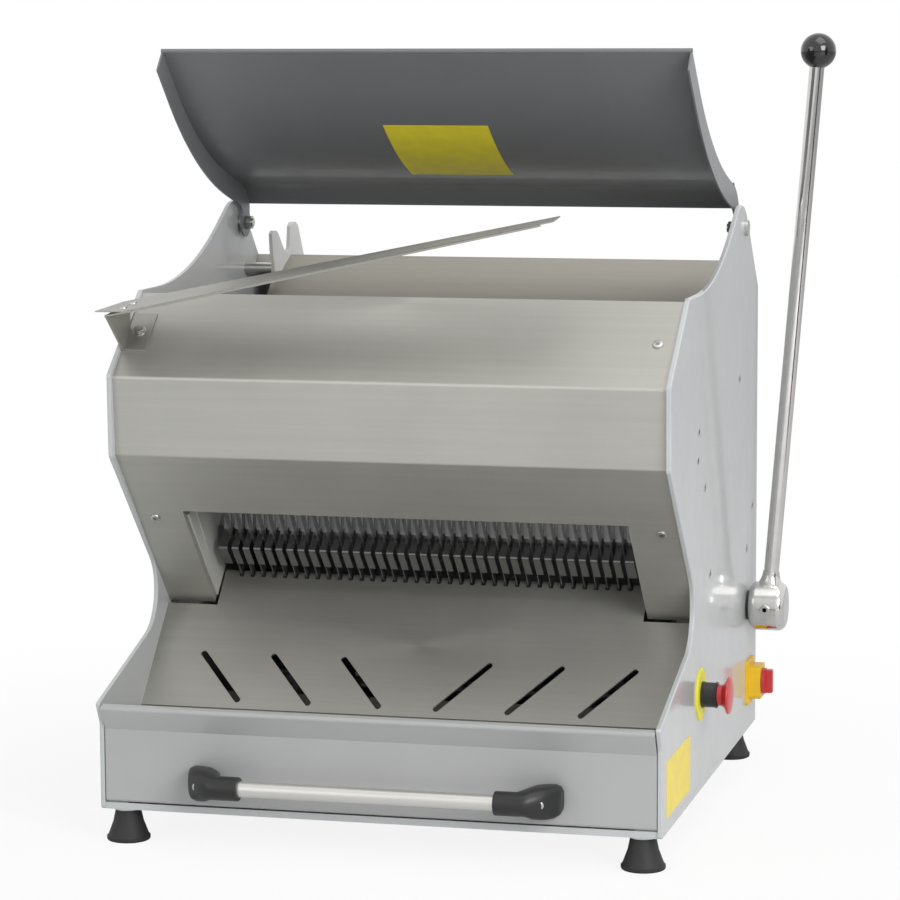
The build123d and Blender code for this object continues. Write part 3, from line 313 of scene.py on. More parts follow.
FINISHES = {
    "plate_grey": enamel("silver_grey_enamel", (0.5, 0.515, 0.515), 0.3, 0.6),
    "hood_steel": brushed("brushed_hood_steel", (0.45, 0.445, 0.41), 0.5, metallic=0.75),
    "bright_steel": brushed("bright_sheet_steel", (0.56, 0.55, 0.52), 0.3),
    "lid_grey": enamel("dark_lid_enamel", (0.165, 0.172, 0.18), 0.42, 0.2),
    "guide_grey": enamel("guide_plate_enamel", (0.56, 0.56, 0.54), 0.4, 0.2),
    "mill_steel": brushed("mill_finish_steel", (0.34, 0.34, 0.34), 0.4, along=(1, 0, 0), contrast=0.12),
    "blade_steel": brushed("ground_blade_steel", (0.42, 0.42, 0.43), 0.26, along=(0, 1, 1)),
    "chrome": polished("polished_chrome", (0.66, 0.65, 0.63), 0.08),
    "zinc": polished("zinc_plating", (0.55, 0.55, 0.53), 0.28),
    "aluminium_tube": brushed("satin_aluminium", (0.66, 0.65, 0.62), 0.34),
    "cast_alloy": cast("cast_alloy", (0.42, 0.42, 0.43), 0.45, 0.8),
    "black_plastic": moulded("black_moulding", (0.012, 0.012, 0.013), 0.38),
    "black_knob": moulded("polished_black_ball", (0.006, 0.006, 0.007), 0.08, 0.02, 0.6),
    "white_plastic": moulded("white_slide_plastic", (0.7, 0.69, 0.65), 0.45),
    "red_plastic": moulded("red_button_plastic", (0.52, 0.03, 0.035), 0.3, 0.08, 0.25),
    "yellow_plastic": moulded("yellow_switch_plastic", (0.8, 0.5, 0.015), 0.36, 0.1),
    "rubber": moulded("black_rubber", (0.016, 0.016, 0.016), 0.62, 0.3),
    "belt_rubber": moulded("belt_rubber", (0.02, 0.02, 0.02), 0.7, 0.4),
    "motor_enamel": enamel("motor_enamel", (0.06, 0.075, 0.09), 0.4, 0.2),
    "yellow_card": moulded("plain_yellow_label", (0.88, 0.76, 0.035), 0.5, 0.03),
    "lemon_card": moulded("plain_lemon_label", (0.82, 0.66, 0.12), 0.5, 0.03),
    "clear_card": moulded("plain_pale_label", (0.46, 0.44, 0.4), 0.35, 0.03),
    # Painted shade: the drawer front takes a darker copy of the side plates' grey enamel, standing in for the weaker
    # light on its face
    "shaded_drawer_enamel": enamel("drawer_front_enamel_painted_shade", (0.4, 0.405, 0.4), 0.34, 0.35),
    # Painted shade: the combs take a darker copy of the blade steel, standing in for the shade inside the mouth
    "shaded_comb_steel": brushed("comb_metal_painted_shade", (0.2, 0.2, 0.2), 0.3, along=(0, 1, 1)),
    # Painted shade: the chute floor takes a darker, warmer copy of the hood steel, standing in for the shade behind
    # the blades
    "shaded_chute_steel": brushed("chute_metal_painted_shade", (0.34, 0.325, 0.285), 0.45, metallic=0.75),
    # Painted shade: the slide, the scoop and its bracket take a darker copy of the hood steel, standing in for the
    # shade they sit in
    "shaded_slide_steel": brushed("brushed_slide_metal_painted_shade", (0.37, 0.365, 0.335), 0.5, metallic=0.75),
    "fork_grey": enamel("fork_plate_enamel", (0.66, 0.66, 0.65), 0.4, 0.1),
    "ring_yellow": moulded("stop_ring_yellow", (0.78, 0.72, 0.03), 0.42, 0.06),
}


def finished(name, bm, body, finish, stands_for=(), crease=32, edge=0.0):
    """A piece from its bmesh, riding on a body, with its edges softened."""
    for face in bm.faces:
        face.smooth = True
    for joint in bm.edges:
        joint.smooth = len(joint.link_faces) == 2 and joint.calc_face_angle(0) < radians(crease)
    mesh = bpy.data.meshes.new(name)
    bm.to_mesh(mesh)
    bm.free()
    if "custom_normal" in mesh.attributes:
        mesh.attributes.remove(mesh.attributes["custom_normal"])
    mesh.materials.clear()
    mesh.materials.append(FINISHES[finish])
    piece = bpy.data.objects.new(name, mesh)
    bpy.context.scene.collection.objects.link(piece)
    if edge:
        soft = piece.modifiers.new("soft_edge", "BEVEL")
        soft.width = edge
        soft.segments = 3
        soft.limit_method = "ANGLE"
        soft.angle_limit = radians(crease)
        soft.harden_normals = True
    weighted = piece.modifiers.new("flat_faces", "WEIGHTED_NORMAL")
    weighted.keep_sharp = True
    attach(piece, body)
    if stands_for:
        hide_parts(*stands_for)
    return piece


def smoothed(node, edge=0.0, crease=32):
    """The node's own shape as one welded skin, with its round faces shaded round."""
    bm = bmesh.new()
    bm.from_mesh(nodes[node].data)
    bmesh.ops.remove_doubles(bm, verts=bm.verts, dist=1e-6)
    slot = slot_of[node]
    finish = OWN_FINISH.get(node, slot)
    return finished(f"{node}_skin", bm, body_of[node], finish, (node,), crease, edge)


def arc(along, radius, bend, start, end, count=6):
    """Points of a round in a profile, from start to end in degrees."""
    turns = [radians(start + (end - start) * step / count) for step in range(count + 1)]
    return [(along + bend * cos(turn), radius + bend * sin(turn)) for turn in turns]


def turned(profile, origin, axis, steps=72):
    """Closed body turned about an axis from (along, radius) points."""
    bm = bmesh.new()
    points = [bm.verts.new((along, 0, radius)) for along, radius in profile]
    chain = [bm.edges.new(pair) for pair in zip(points, points[1:])]
    bmesh.ops.spin(bm, geom=points + chain, cent=(0, 0, 0), axis=(1, 0, 0), dvec=(0, 0, 0),
                   angle=2 * pi, steps=steps, use_merge=True, use_duplicate=False)
    bmesh.ops.remove_doubles(bm, verts=bm.verts, dist=1e-6)
    bmesh.ops.recalc_face_normals(bm, faces=bm.faces)
    turn = Vector((1, 0, 0)).rotation_difference(Vector(axis)).to_matrix().to_4x4()
    bmesh.ops.transform(bm, matrix=Matrix.Translation(origin) @ turn, verts=bm.verts)
    return bm


def joined(parts):
    """Several closed bodies in one mesh."""
    whole = bmesh.new()
    for part in parts:
        mesh = bpy.data.meshes.new("part")
        part.to_mesh(mesh)
        part.free()
        whole.from_mesh(mesh)
        bpy.data.meshes.remove(mesh)
    return whole


def socket_head(place, outward, radius, height):
    """Low round screw head with a hexagon socket, standing on a face."""
    bm = bmesh.new()
    rings = [
        (24, radius, 0),
        (24, radius, height * 0.45),
        (24, radius * 0.93, height * 0.82),
        (24, radius * 0.78, height),
        (6, radius * SOCKET_SHARE, height),
        (6, radius * SOCKET_SHARE * 0.96, height * (1 - SOCKET_DEPTH_SHARE)),
    ]
    loops = []
    for sides, ring_radius, level in rings:
        made = bmesh.ops.create_circle(bm, segments=sides, radius=ring_radius,
                                       matrix=Matrix.Translation((0, 0, level)))
        loops.append(list({edge for vert in made["verts"] for edge in vert.link_edges}))
    for low, high in zip(loops, loops[1:]):
        bmesh.ops.bridge_loops(bm, edges=low + high)
    for loop in (loops[0], loops[-1]):
        bmesh.ops.edgeloop_fill(bm, edges=loop)
    bmesh.ops.recalc_face_normals(bm, faces=bm.faces)
    turn = Vector((0, 0, 1)).rotation_difference(Vector(outward)).to_matrix().to_4x4()
    bmesh.ops.transform(bm, matrix=Matrix.Translation(place) @ turn, verts=bm.verts)
    return bm


def card(width, height, corner, wall):
    """Thin plate with round corners, lying in X and Y, centred, its face at Z = wall."""
    bm = bmesh.new()
    bmesh.ops.create_grid(bm, x_segments=1, y_segments=1, size=0.5)
    bmesh.ops.scale(bm, vec=(width, height, 1), verts=bm.verts)
    bmesh.ops.bevel(bm, geom=bm.verts[:], offset=corner, segments=6, profile=0.5,
                    affect="VERTICES", material=-1)
    raised = bmesh.ops.extrude_face_region(bm, geom=bm.faces[:])
    lifted = [item for item in raised["geom"] if isinstance(item, bmesh.types.BMVert)]
    bmesh.ops.translate(bm, vec=(0, 0, wall), verts=lifted)
    bmesh.ops.recalc_face_normals(bm, faces=bm.faces)
    return bm


def middle(node):
    """Centre and half size of a node's box."""
    low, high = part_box(node)
    return (low + high) / 2, (high - low) / 2


def islands(node):
    """Centre and half size of each separate solid of a node."""
    bm = bmesh.new()
    bm.from_mesh(nodes[node].data)
    bmesh.ops.remove_doubles(bm, verts=bm.verts, dist=1e-6)
    seen = set()
    found = []
    for seed in bm.verts:
        if seed in seen:
            continue
        group = [seed]
        seen.add(seed)
        for vert in group:
            for edge in vert.link_edges:
                other = edge.other_vert(vert)
                if other not in seen:
                    seen.add(other)
                    group.append(other)
        low = Vector([min(vert.co[axis] for vert in group) for axis in range(3)])
        high = Vector([max(vert.co[axis] for vert in group) for axis in range(3)])
        found.append(((low + high) / 2, (high - low) / 2))
    bm.free()
    return found


# CAD nodes take their slots' finishes
OWN_FINISH = {
    # painted shade: darker enamel copy on the drawer front
    "drawer_front": "shaded_drawer_enamel",
    # painted shade: darkened hood steel on the chute floor
    "chute_floor": "shaded_chute_steel",
    # painted shade: darkened hood steel on the outfeed slide
    "outfeed_slide": "shaded_slide_steel",
    # painted shade: both combs take the darkened blade steel
    "lower_comb": "shaded_comb_steel",
    "hold_down_comb": "shaded_comb_steel",
}
for name, obj in nodes.items():
    for place in obj.material_slots:
        place.material = FINISHES[OWN_FINISH.get(name, slot_of[name])]

# Sheets and castings whose bends and rims show
for node in ("left_side_plate", "right_side_plate", "hood", "outfeed_slide", "guide_plates",
             "lower_comb", "hold_down_comb", "hold_down_rod", "lid", "lid_bolts", "drawer_front",
             "rear_cover", "fork_spacer", "tie_bars",
             "pusher_arms", "pusher_bolts", "pusher_tube", "pusher_shaft",
             "crankshaft", "front_rods", "rear_rods", "crank_stands", "crank_pulley",
             "motor_pulley", "drive_belt", "motor", "motor_shaft", "motor_cradle",
             "foot_washers", "cable_gland"):
    smoothed(node)
smoothed("lid_buffer", edge=1.2 * MM)
smoothed("switch_box", edge=1.2 * MM)
smoothed("switch_knob", edge=1.0 * MM)


def serrated_blades(node):
    """Thin blades with a scalloped cutting edge on the loaf's side."""
    up = [vert.co.dot(UP_BLADE) for vert in nodes[node].data.vertices]
    along = [vert.co.dot(UP_CHUTE) for vert in nodes[node].data.vertices]
    low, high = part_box(node)
    length = max(up) - min(up)
    depth = max(along) - min(along)
    teeth = int(length / TOOTH_PITCH)
    blades = []
    for count in range(BLADES_PER_FRAME):
        bm = bmesh.new()
        bmesh.ops.create_grid(bm, x_segments=teeth * TOOTH_STEPS, y_segments=1, size=0.5)
        for vert in bm.verts:
            share = vert.co.x + 0.5
            notch = abs(sin(pi * share * teeth)) * TOOTH_DEPTH if vert.co.y > 0 else 0
            reach = min(along) + depth * (vert.co.y + 0.5) - TOOTH_DEPTH * (vert.co.y > 0) + notch
            vert.co = UP_BLADE * (min(up) + length * share) + UP_CHUTE * reach
        bmesh.ops.recalc_face_normals(bm, faces=bm.faces)
        bmesh.ops.solidify(bm, geom=bm.faces[:], thickness=BLADE_WALL)
        inset = (high.x - low.x - BLADE_WALL) * count / (BLADES_PER_FRAME - 1)
        thin = [vert.co.x for vert in bm.verts]
        bmesh.ops.translate(bm, vec=(low.x + inset - min(thin), 0, 0), verts=bm.verts)
        bmesh.ops.recalc_face_normals(bm, faces=bm.faces)
        blades.append(bm)
    finished(f"{node}_serrated", joined(blades), body_of[node], "blade_steel", (node,))


serrated_blades("front_blades")
serrated_blades("rear_blades")


def hand_lever():
    """Chromed hub and rod with a black ball."""
    hub_low, hub_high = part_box("lever_hub")
    ball_low, ball_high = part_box("lever_ball")
    centre = Vector(((hub_low.x + hub_high.x) / 2, (hub_low.y + hub_high.y) / 2, hub_low.z + HUB_RADIUS))
    ball = Vector(((ball_low.x + ball_high.x) / 2, centre.y, ball_high.z - BALL_RADIUS))
    rise = (ball - centre).normalized()
    length = hub_high.x - hub_low.x
    barrel = [(0, 0)]
    barrel += arc(HUB_ROUND, HUB_RADIUS - HUB_ROUND, HUB_ROUND, 180, 90)
    barrel += arc(length - HUB_ROUND, HUB_RADIUS - HUB_ROUND, HUB_ROUND, 90, 0)
    barrel += [(length, 0)]
    neck = [(0, 0), (0, NECK_RADIUS)]
    for step in range(9):
        share = step / 8
        spread = NECK_RADIUS + (ROD_RADIUS + 1 * MM - NECK_RADIUS) * (1 - (1 - share) ** 2)
        neck.append((HUB_RADIUS - 5 * MM + NECK_RISE * share, spread))
    neck += [(HUB_RADIUS - 5 * MM + NECK_RISE, 0)]
    hub = joined([
        turned(barrel, (hub_low.x, centre.y, centre.z), (1, 0, 0)),
        turned(neck, centre, rise, 48),
    ])
    finished("lever_hub_polished", hub, "lever", "chrome", ("lever_hub",), crease=50)
    reach = (ball - centre).length
    rod = [(HUB_RADIUS * 0.6, 0), (HUB_RADIUS * 0.6, ROD_RADIUS), (reach, ROD_RADIUS), (reach, 0)]
    finished("lever_rod_polished", turned(rod, centre, rise, 48), "lever", "chrome", ("lever_rod",))
    rim = [(-BALL_RADIUS * 0.93, 0), (-BALL_RADIUS * 0.93, ROD_RADIUS * 0.95)]
    sphere = rim + arc(0, 0, BALL_RADIUS, 154, 0, 28)
    finished("lever_ball_moulded", turned(sphere, ball, rise), "lever", "black_knob",
             ("lever_ball",), crease=60)
    screw, half = middle("hub_set_screw")
    finished("hub_set_screw_head", socket_head((screw.x, screw.y + half.y, screw.z), (0, -1, 0),
             half.x, 2 * half.y), "lever", "zinc", ("hub_set_screw",))


hand_lever()


def lever_bushes():
    """Bushes of the lever's shaft: the right one shows as a dark ring behind the hub."""
    bushes = []
    for centre, half in islands("shaft_bushes"):
        side = 1 if centre.x > 0 else -1
        start = abs(centre.x) - half.x
        flange = [(0, BUSH_BORE), (0, half.z), (BUSH_FLANGE, half.z), (BUSH_FLANGE, BUSH_BORE)]
        if side > 0:
            flange[3:] = [(BUSH_FLANGE, BUSH_BARREL), (2 * half.x, BUSH_BARREL), (2 * half.x, BUSH_BORE)]
        bushes.append(turned([*flange, flange[0]], (side * start, centre.y, centre.z), (side, 0, 0)))
    finished("shaft_bushes_turned", joined(bushes), "frame", "black_plastic", ("shaft_bushes",))


lever_bushes()


def rubber_feet():
    """Waisted rubber feet with a rounded tread."""
    feet = []
    for centre, half in islands("feet"):
        wide = half.x
        tall = 2 * half.z
        profile = [(0, 0), (0, wide - 2 * MM)]
        profile += arc(2 * MM, wide - 2 * MM, 2 * MM, 180, 90, 4)
        profile += [(4.5 * MM, wide), (6 * MM, wide - 1.6 * MM), (tall * 0.6, wide * 0.7)]
        profile += [(tall - 1.5 * MM, 13.6 * MM), (tall, 13 * MM), (tall, 0)]
        feet.append(turned(profile, (centre.x, centre.y, 0), (0, 0, 1), 56))
    finished("rubber_feet", joined(feet), "frame", "rubber", ("feet",))


rubber_feet()


def drawer_pull_tube():
    """Satin tube of the drawer pull."""
    centre, half = middle("pull_tube")
    radius = half.z
    ring = [(0, radius - 1.5 * MM), (0, radius), (2 * half.x, radius), (2 * half.x, radius - 1.5 * MM),
            (0, radius - 1.5 * MM)]
    tube = turned(ring, (centre.x - half.x, centre.y, centre.z), (1, 0, 0), 56)
    finished("pull_tube_satin", tube, "drawer", "aluminium_tube", ("pull_tube",))


drawer_pull_tube()


def stop_control():
    """Yellow ring, ribbed black barrel and red mushroom."""
    centre, half = middle("stop_ring")
    wall = 2 * half.x
    rim = [(0, 0), (0, half.z), (wall - 0.6 * MM, half.z), (wall, half.z - 0.8 * MM), (wall, 0)]
    base = (centre.x - half.x, centre.y, centre.z)
    finished("stop_ring_disc", turned(rim, base, (1, 0, 0)), "frame", "ring_yellow",
             ("stop_ring",))
    centre, half = middle("stop_barrel")
    long = 2 * half.x
    radius = half.z
    barrel = [(0, 0), (0, radius), (3 * MM, radius), (3.4 * MM, radius - 0.7 * MM)]
    barrel += [(long - 2.4 * MM, radius - 0.7 * MM), (long - 2 * MM, radius), (long - 0.5 * MM, radius)]
    barrel += [(long, radius - 0.6 * MM), (long, 12 * MM), (long - 6.5 * MM, 12 * MM)]
    barrel += [(long - 6.5 * MM, 6.1 * MM), (1 * MM, 6.1 * MM), (1 * MM, 0)]
    base = (centre.x - half.x, centre.y, centre.z)
    finished("stop_barrel_moulded", turned(barrel, base, (1, 0, 0)), "frame", "black_plastic",
             ("stop_barrel",))
    low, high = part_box("stop_button")
    radius = (high.z - low.z) / 2
    front = high.x
    neck = front - 11 * MM
    cap = [(low.x, 0), (low.x, 5.9 * MM), (neck - 4 * MM, 5.9 * MM), (neck - 4 * MM, 11.2 * MM)]
    cap += [(neck + 1 * MM, 11.4 * MM), (neck + 5 * MM, radius - 4.5 * MM)]
    cap += [(neck + 6 * MM, radius - 0.8 * MM), (neck + 6.8 * MM, radius)]
    cap += arc(front - 3.5 * MM, radius - 1.6 * MM, 1.6 * MM, 90, 20, 5)
    cap += [(front - 1 * MM, radius * 0.78), (front - 0.3 * MM, radius * 0.45), (front, 0)]
    cap = [(along - low.x, width) for along, width in cap]
    button = turned(cap, (low.x, (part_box("stop_ring")[0].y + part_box("stop_ring")[1].y) / 2, (low.z + high.z) / 2),
                    (1, 0, 0))
    finished("stop_button_moulded", button, "stop_button", "red_plastic", ("stop_button",))


stop_control()


def scoop_up():
    """Upward normal of the scoop's flat part."""
    near, tip_near, tip_far = [Vector(corner) for corner in SCOOP_CORNERS[1:4]]
    return (tip_near - near).cross(tip_far - near).normalized()


def slab(corners, wall):
    """Flat sheet from its corners, thickened by a wall as a vector."""
    bm = bmesh.new()
    face = bm.faces.new([bm.verts.new(corner) for corner in corners])
    raised = bmesh.ops.extrude_face_region(bm, geom=[face])
    lifted = [item for item in raised["geom"] if isinstance(item, bmesh.types.BMVert)]
    bmesh.ops.translate(bm, vec=wall, verts=lifted)
    bmesh.ops.recalc_face_normals(bm, faces=bm.faces)
    return bm


def bagging_scoop():
    """Tapered scoop with a bright folded hem, and its bracket screwed to the roof."""
    down = -scoop_up()
    corners = [Vector(corner) for corner in SCOOP_CORNERS]
    sheet = slab(corners, down * SCOOP_WALL)
    near, tip = corners[1], corners[2]
    inward = (corners[3] - tip).normalized() * SCOOP_WALL
    run = (tip - near) * 0.97
    hem = slab([near, near + run, near + run + down * SCOOP_HEM, near + down * SCOOP_HEM], inward)
    # The scoop and its hem take the darkened hood steel: painted shade
    finished("scoop_sheet", joined([sheet, hem]), "frame", "shaded_slide_steel", ("scoop",), edge=0.3 * MM)
    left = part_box("scoop_bracket")[0].x
    cheek = slab([(left, y, z) for y, z in CHEEK], (CHEEK_WALL, 0, 0))
    (heel_y, heel_z), (toe_y, toe_z) = FOOT_RUN
    foot = slab([(left, heel_y, heel_z), (left, toe_y, toe_z), (left + FOOT_WIDTH, toe_y, toe_z),
                 (left + FOOT_WIDTH, heel_y, heel_z)], ROOF_NORMAL * FOOT_WALL)
    tab_near, tab_far = CHEEK[0], CHEEK[3]
    lean = Vector((1, 0, 0.204)) * FOOT_WIDTH
    tab_corners = [Vector((left, *tab_near)), Vector((left, *tab_far))]
    tab = slab([*tab_corners, tab_corners[1] + lean, tab_corners[0] + lean], down * FOOT_WALL)
    # The bracket takes the same darkened hood steel: painted shade
    finished("scoop_bracket_sheet", joined([cheek, foot, tab]), "frame", "shaded_slide_steel",
             ("scoop_bracket",), edge=0.4 * MM)
    place = Vector((left + FOOT_WIDTH * 0.5, 0.096, 0)) 
    place.z = heel_z + (place.y - heel_y) * (toe_z - heel_z) / (toe_y - heel_y) + FOOT_WALL
    bolt = bmesh.new()
    bmesh.ops.create_cone(bolt, cap_ends=True, segments=6, radius1=5.6 * MM, radius2=5.6 * MM, depth=4 * MM)
    washer = bmesh.new()
    bmesh.ops.create_cone(washer, cap_ends=True, segments=32, radius1=7.4 * MM, radius2=7.4 * MM, depth=1 * MM)
    bmesh.ops.translate(bolt, vec=(0, 0, 3 * MM), verts=bolt.verts)
    bmesh.ops.translate(washer, vec=(0, 0, 0.5 * MM), verts=washer.verts)
    head = joined([bolt, washer])
    turn = Vector((0, 0, 1)).rotation_difference(ROOF_NORMAL).to_matrix().to_4x4()
    bmesh.ops.transform(head, matrix=Matrix.Translation(place) @ turn, verts=head.verts)
    finished("scoop_bracket_bolt", head, "frame", "zinc", edge=0.4 * MM)


bagging_scoop()


def fork_plate():
    """Forked plate behind the scoop, turned a little to the front."""
    along = Vector((*FORK_RUN, 0))
    heel = Vector((*FORK_HEEL, 0))
    corners = [heel + along * run + Vector((0, 0, z)) for run, z in FORK_OUTLINE]
    wall = Vector((FORK_RUN[1], -FORK_RUN[0], 0)) * -FORK_WALL
    finished("fork_plate_cut", slab(corners, wall), "frame", "fork_grey", ("fork_plate",),
             edge=0.5 * MM)


fork_plate()


def mouth_liners():
    """Light side walls seen through the mouth, between the hood and the slide."""
    sides = [slab([(side * LINER_PLACE, y, z) for y, z in LINER], (side * LINER_WALL, 0, 0))
             for side in (-1, 1)]
    finished("mouth_liners", joined(sides), "frame", "guide_grey")


mouth_liners()


def pull_bracket(side):
    """Moulded end of the drawer pull: a sleeve on the tube that sweeps back to an oval foot."""
    bm = bmesh.new()
    loops = []
    for reach, y, z, half_depth, half_height in PULL_SECTIONS:
        made = bmesh.ops.create_circle(bm, segments=40, radius=1)
        for vert in made["verts"]:
            across = abs(vert.co.x) ** (2 / PULL_SQUARENESS) * (1 if vert.co.x > 0 else -1)
            up = abs(vert.co.y) ** (2 / PULL_SQUARENESS) * (1 if vert.co.y > 0 else -1)
            square = min(1, max(0, (reach - 0.158) / 0.01))
            across = vert.co.x + (across - vert.co.x) * square
            up = vert.co.y + (up - vert.co.y) * square
            vert.co = (side * reach, y + across * half_depth, z + up * half_height)
        loops.append(list({edge for vert in made["verts"] for edge in vert.link_edges}))
    for low, high in zip(loops, loops[1:]):
        bmesh.ops.bridge_loops(bm, edges=low + high)
    for loop in (loops[0], loops[-1]):
        bmesh.ops.edgeloop_fill(bm, edges=loop)
    bmesh.ops.recalc_face_normals(bm, faces=bm.faces)
    return bm


def drawer_pull_brackets():
    """Both moulded brackets with their screws."""
    finished("pull_brackets_moulded", joined([pull_bracket(-1), pull_bracket(1)]), "drawer",
             "black_plastic", ("pull_brackets",), crease=50)
    reach, y, z = PULL_SCREW
    heads = [socket_head((side * reach, y, z), Vector((side * 0.42, -0.9, 0)), 4.4 * MM, 1.6 * MM)
             for side in (-1, 1)]
    finished("pull_screws", joined(heads), "drawer", "zinc")


drawer_pull_brackets()


def screw_heads():
    """Socket-headed screws on the hood, the scoop and the side plates."""
    facets = []
    for centre, half in islands("hood_screws"):
        radius = half.x
        lean = half.y / radius
        height = 2 * MM
        if centre.z > 0.56:
            continue
        if centre.z > 0.45:
            outward = Vector((0, -0.627, 0.779))
        else:
            outward = Vector((0, -0.737, -0.676))
        foot = centre - outward * height / 2
        facets.append(socket_head(foot, outward, radius, height))
    for x, y in SCOOP_SCREWS:
        outward = scoop_up()
        near = Vector(SCOOP_CORNERS[1])
        z = near.z - (outward.x * (x - near.x) + outward.y * (y - near.y)) / outward.z
        facets.append(socket_head((x, y, z), outward, 4.2 * MM, 1.6 * MM))
    finished("hood_screw_heads", joined(facets), "frame", "zinc", ("hood_screws",))
    flush = []
    for centre, half in islands("plate_screws"):
        side = 1 if centre.x > 0 else -1
        place = (centre.x - side * half.x, centre.y, centre.z)
        flush.append(socket_head(place, (side, 0, 0), half.z, 2 * half.x))
    finished("plate_screw_heads", joined(flush), "frame", "zinc", ("plate_screws",))


screw_heads()


def lid_label():
    """Plain yellow card on the underside of the lid, curved with it."""
    bm = bmesh.new()
    bm.from_mesh(nodes["lid"].data)
    skin = BVHTree.FromBMesh(bm)
    bm.free()
    bm = bmesh.new()
    bmesh.ops.create_grid(bm, x_segments=12, y_segments=24, size=0.5)
    front = Vector((0, 0.2985, 0.7415))
    rear = Vector((0, 0.4230, 0.6825))
    run = rear - front
    below = Vector((0, run.z, -run.y)).normalized()
    for vert in bm.verts:
        start = front + run * (vert.co.y + 0.5) + below * 0.05
        start.x = -0.0095 + 0.118 * vert.co.x
        hit = skin.ray_cast(start, -below)
        vert.co = hit[0] + below * 0.15 * MM
    bmesh.ops.recalc_face_normals(bm, faces=bm.faces)
    bmesh.ops.solidify(bm, geom=bm.faces[:], thickness=0.3 * MM)
    bmesh.ops.recalc_face_normals(bm, faces=bm.faces)
    finished("lid_card", bm, "lid", "yellow_card")


lid_label()


def side_label():
    """Plain yellow card on the right side plate."""
    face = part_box("right_side_plate")[1].x
    bm = card(134 * MM, 59 * MM, 1.5 * MM, 0.3 * MM)
    stand = Matrix(((0, 0, 1, face), (1, 0, 0, 0.088), (0, 1, 0, 0.082), (0, 0, 0, 1)))
    bmesh.ops.transform(bm, matrix=stand, verts=bm.verts)
    finished("side_card", bm, "frame", "lemon_card")


side_label()


def chute_label():
    """Plain pale card near the top of the chute floor."""
    bm = card(50 * MM, 38 * MM, 1.5 * MM, 0.25 * MM)
    low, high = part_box("chute_floor")
    place = Vector((0.178, high.y, high.z)) - UP_CHUTE * 0.028
    sloped = Matrix.Translation(place) @ Matrix.Rotation(CHUTE_ANGLE, 4, "X")
    bmesh.ops.transform(bm, matrix=sloped, verts=bm.verts)
    finished("chute_card", bm, "frame", "clear_card")


chute_label()


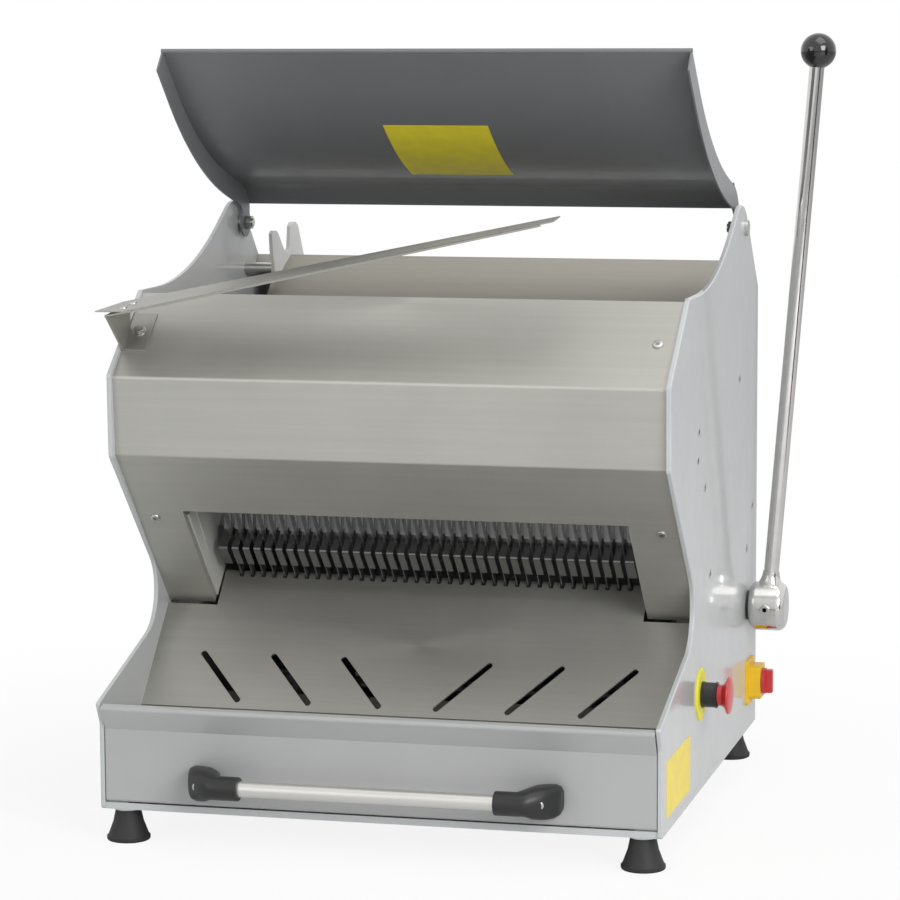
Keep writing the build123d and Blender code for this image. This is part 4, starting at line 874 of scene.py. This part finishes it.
def studio():
    """Camera, soft lamps, pale floor and a plain white surround."""
    scene = bpy.context.scene
    scene.view_settings.view_transform = "Standard"
    camera = bpy.data.objects.new("camera", bpy.data.cameras.new("camera"))
    scene.collection.objects.link(camera)
    aim = Euler((radians(90 - CAMERA_TIP), 0, radians(CAMERA_TURN))).to_matrix().to_4x4()
    camera.matrix_world = Matrix.Translation(CAMERA_PLACE) @ aim @ Matrix.Rotation(radians(CAMERA_ROLL), 4, "Z")
    camera.data.lens = CAMERA_LENS
    scene.camera = camera

    dark_cards = {
        "dark_card_right": ((2.1, -0.6, 0.7), (0, pi / 2, 0.5), 0.7),
        "dark_card_left": ((-2.6, -1.6, 0.8), (0, pi / 2, -0.4), 0.8),
    }
    for name, (place, turn, half) in dark_cards.items():
        bm = bmesh.new()
        bmesh.ops.create_grid(bm, x_segments=1, y_segments=1, size=half)
        mesh = bpy.data.meshes.new(name)
        bm.to_mesh(mesh)
        bm.free()
        flag = bpy.data.objects.new(name, mesh)
        flag.matrix_world = Matrix.Translation(place) @ Euler(turn).to_matrix().to_4x4()
        scene.collection.objects.link(flag)
        mesh.materials.append(FINISHES["black_plastic"])
        flag.visible_camera = False

    lamps = {
        "front_right": ((3.1, -2.7, 2.2), (0, 0.2, 0.3), 2.2, 122),
        "front_left": ((-3.0, -3.0, 1.7), (0, 0.1, 0.3), 2.4, 30),
        "overhead": ((0.9, -0.2, 3.2), (0, 0.3, 0.3), 2.0, 22),
    }
    for name, (place, target, size, power) in lamps.items():
        data = bpy.data.lights.new(name, "AREA")
        data.size = size
        data.energy = power
        lamp = bpy.data.objects.new(name, data)
        lamp.location = place
        lamp.rotation_euler = (Vector(target) - Vector(place)).to_track_quat("-Z", "Y").to_euler()
        scene.collection.objects.link(lamp)

    world = bpy.data.worlds.new("surround")
    scene.world = world
    world.use_nodes = True
    tree = world.node_tree
    rays = tree.nodes.new("ShaderNodeLightPath")
    soft = tree.nodes["Background"]
    soft.inputs["Color"].default_value = (*AMBIENT, 1)
    white = tree.nodes.new("ShaderNodeBackground")
    white.inputs["Color"].default_value = (1, 1, 1, 1)
    seen = rays.outputs["Is Camera Ray"]
    for kind in ("Is Glossy Ray", "Is Transmission Ray"):
        either = tree.nodes.new("ShaderNodeMath")
        either.operation = "MAXIMUM"
        tree.links.new(seen, either.inputs[0])
        tree.links.new(rays.outputs[kind], either.inputs[1])
        seen = either.outputs[0]
    blend = tree.nodes.new("ShaderNodeMixShader")
    tree.links.new(seen, blend.inputs[0])
    tree.links.new(soft.outputs[0], blend.inputs[1])
    tree.links.new(white.outputs[0], blend.inputs[2])
    tree.links.new(blend.outputs[0], tree.nodes["World Output"].inputs[0])

    bm = bmesh.new()
    bmesh.ops.create_grid(bm, x_segments=1, y_segments=1, size=FLOOR_HALF)
    mesh = bpy.data.meshes.new("floor")
    bm.to_mesh(mesh)
    bm.free()
    floor = bpy.data.objects.new("floor", mesh)
    scene.collection.objects.link(floor)
    material = bpy.data.materials.new("pale_floor")
    material.use_nodes = True
    tree = material.node_tree
    tree.nodes.remove(tree.nodes["Principled BSDF"])
    matt = tree.nodes.new("ShaderNodeBsdfDiffuse")
    matt.inputs["Color"].default_value = (*FLOOR_SHADE, 1)
    glow = tree.nodes.new("ShaderNodeEmission")
    rays = tree.nodes.new("ShaderNodeLightPath")
    place = tree.nodes.new("ShaderNodeTexCoord")
    reach = tree.nodes.new("ShaderNodeVectorMath")
    reach.operation = "LENGTH"
    fade = tree.nodes.new("ShaderNodeMapRange")
    fade.inputs["From Min"].default_value = FLOOR_FADE[0]
    fade.inputs["From Max"].default_value = FLOOR_FADE[1]
    fade.inputs["To Min"].default_value = FLOOR_GLOW
    share = tree.nodes.new("ShaderNodeMath")
    share.operation = "MULTIPLY"
    tree.links.new(place.outputs["Object"], reach.inputs[0])
    tree.links.new(reach.outputs["Value"], fade.inputs["Value"])
    tree.links.new(rays.outputs["Is Camera Ray"], share.inputs[0])
    tree.links.new(fade.outputs[0], share.inputs[1])
    blend = tree.nodes.new("ShaderNodeMixShader")
    tree.links.new(share.outputs[0], blend.inputs[0])
    tree.links.new(matt.outputs[0], blend.inputs[1])
    tree.links.new(glow.outputs[0], blend.inputs[2])
    tree.links.new(blend.outputs[0], tree.nodes["Material Output"].inputs[0])
    mesh.materials.append(material)


studio()
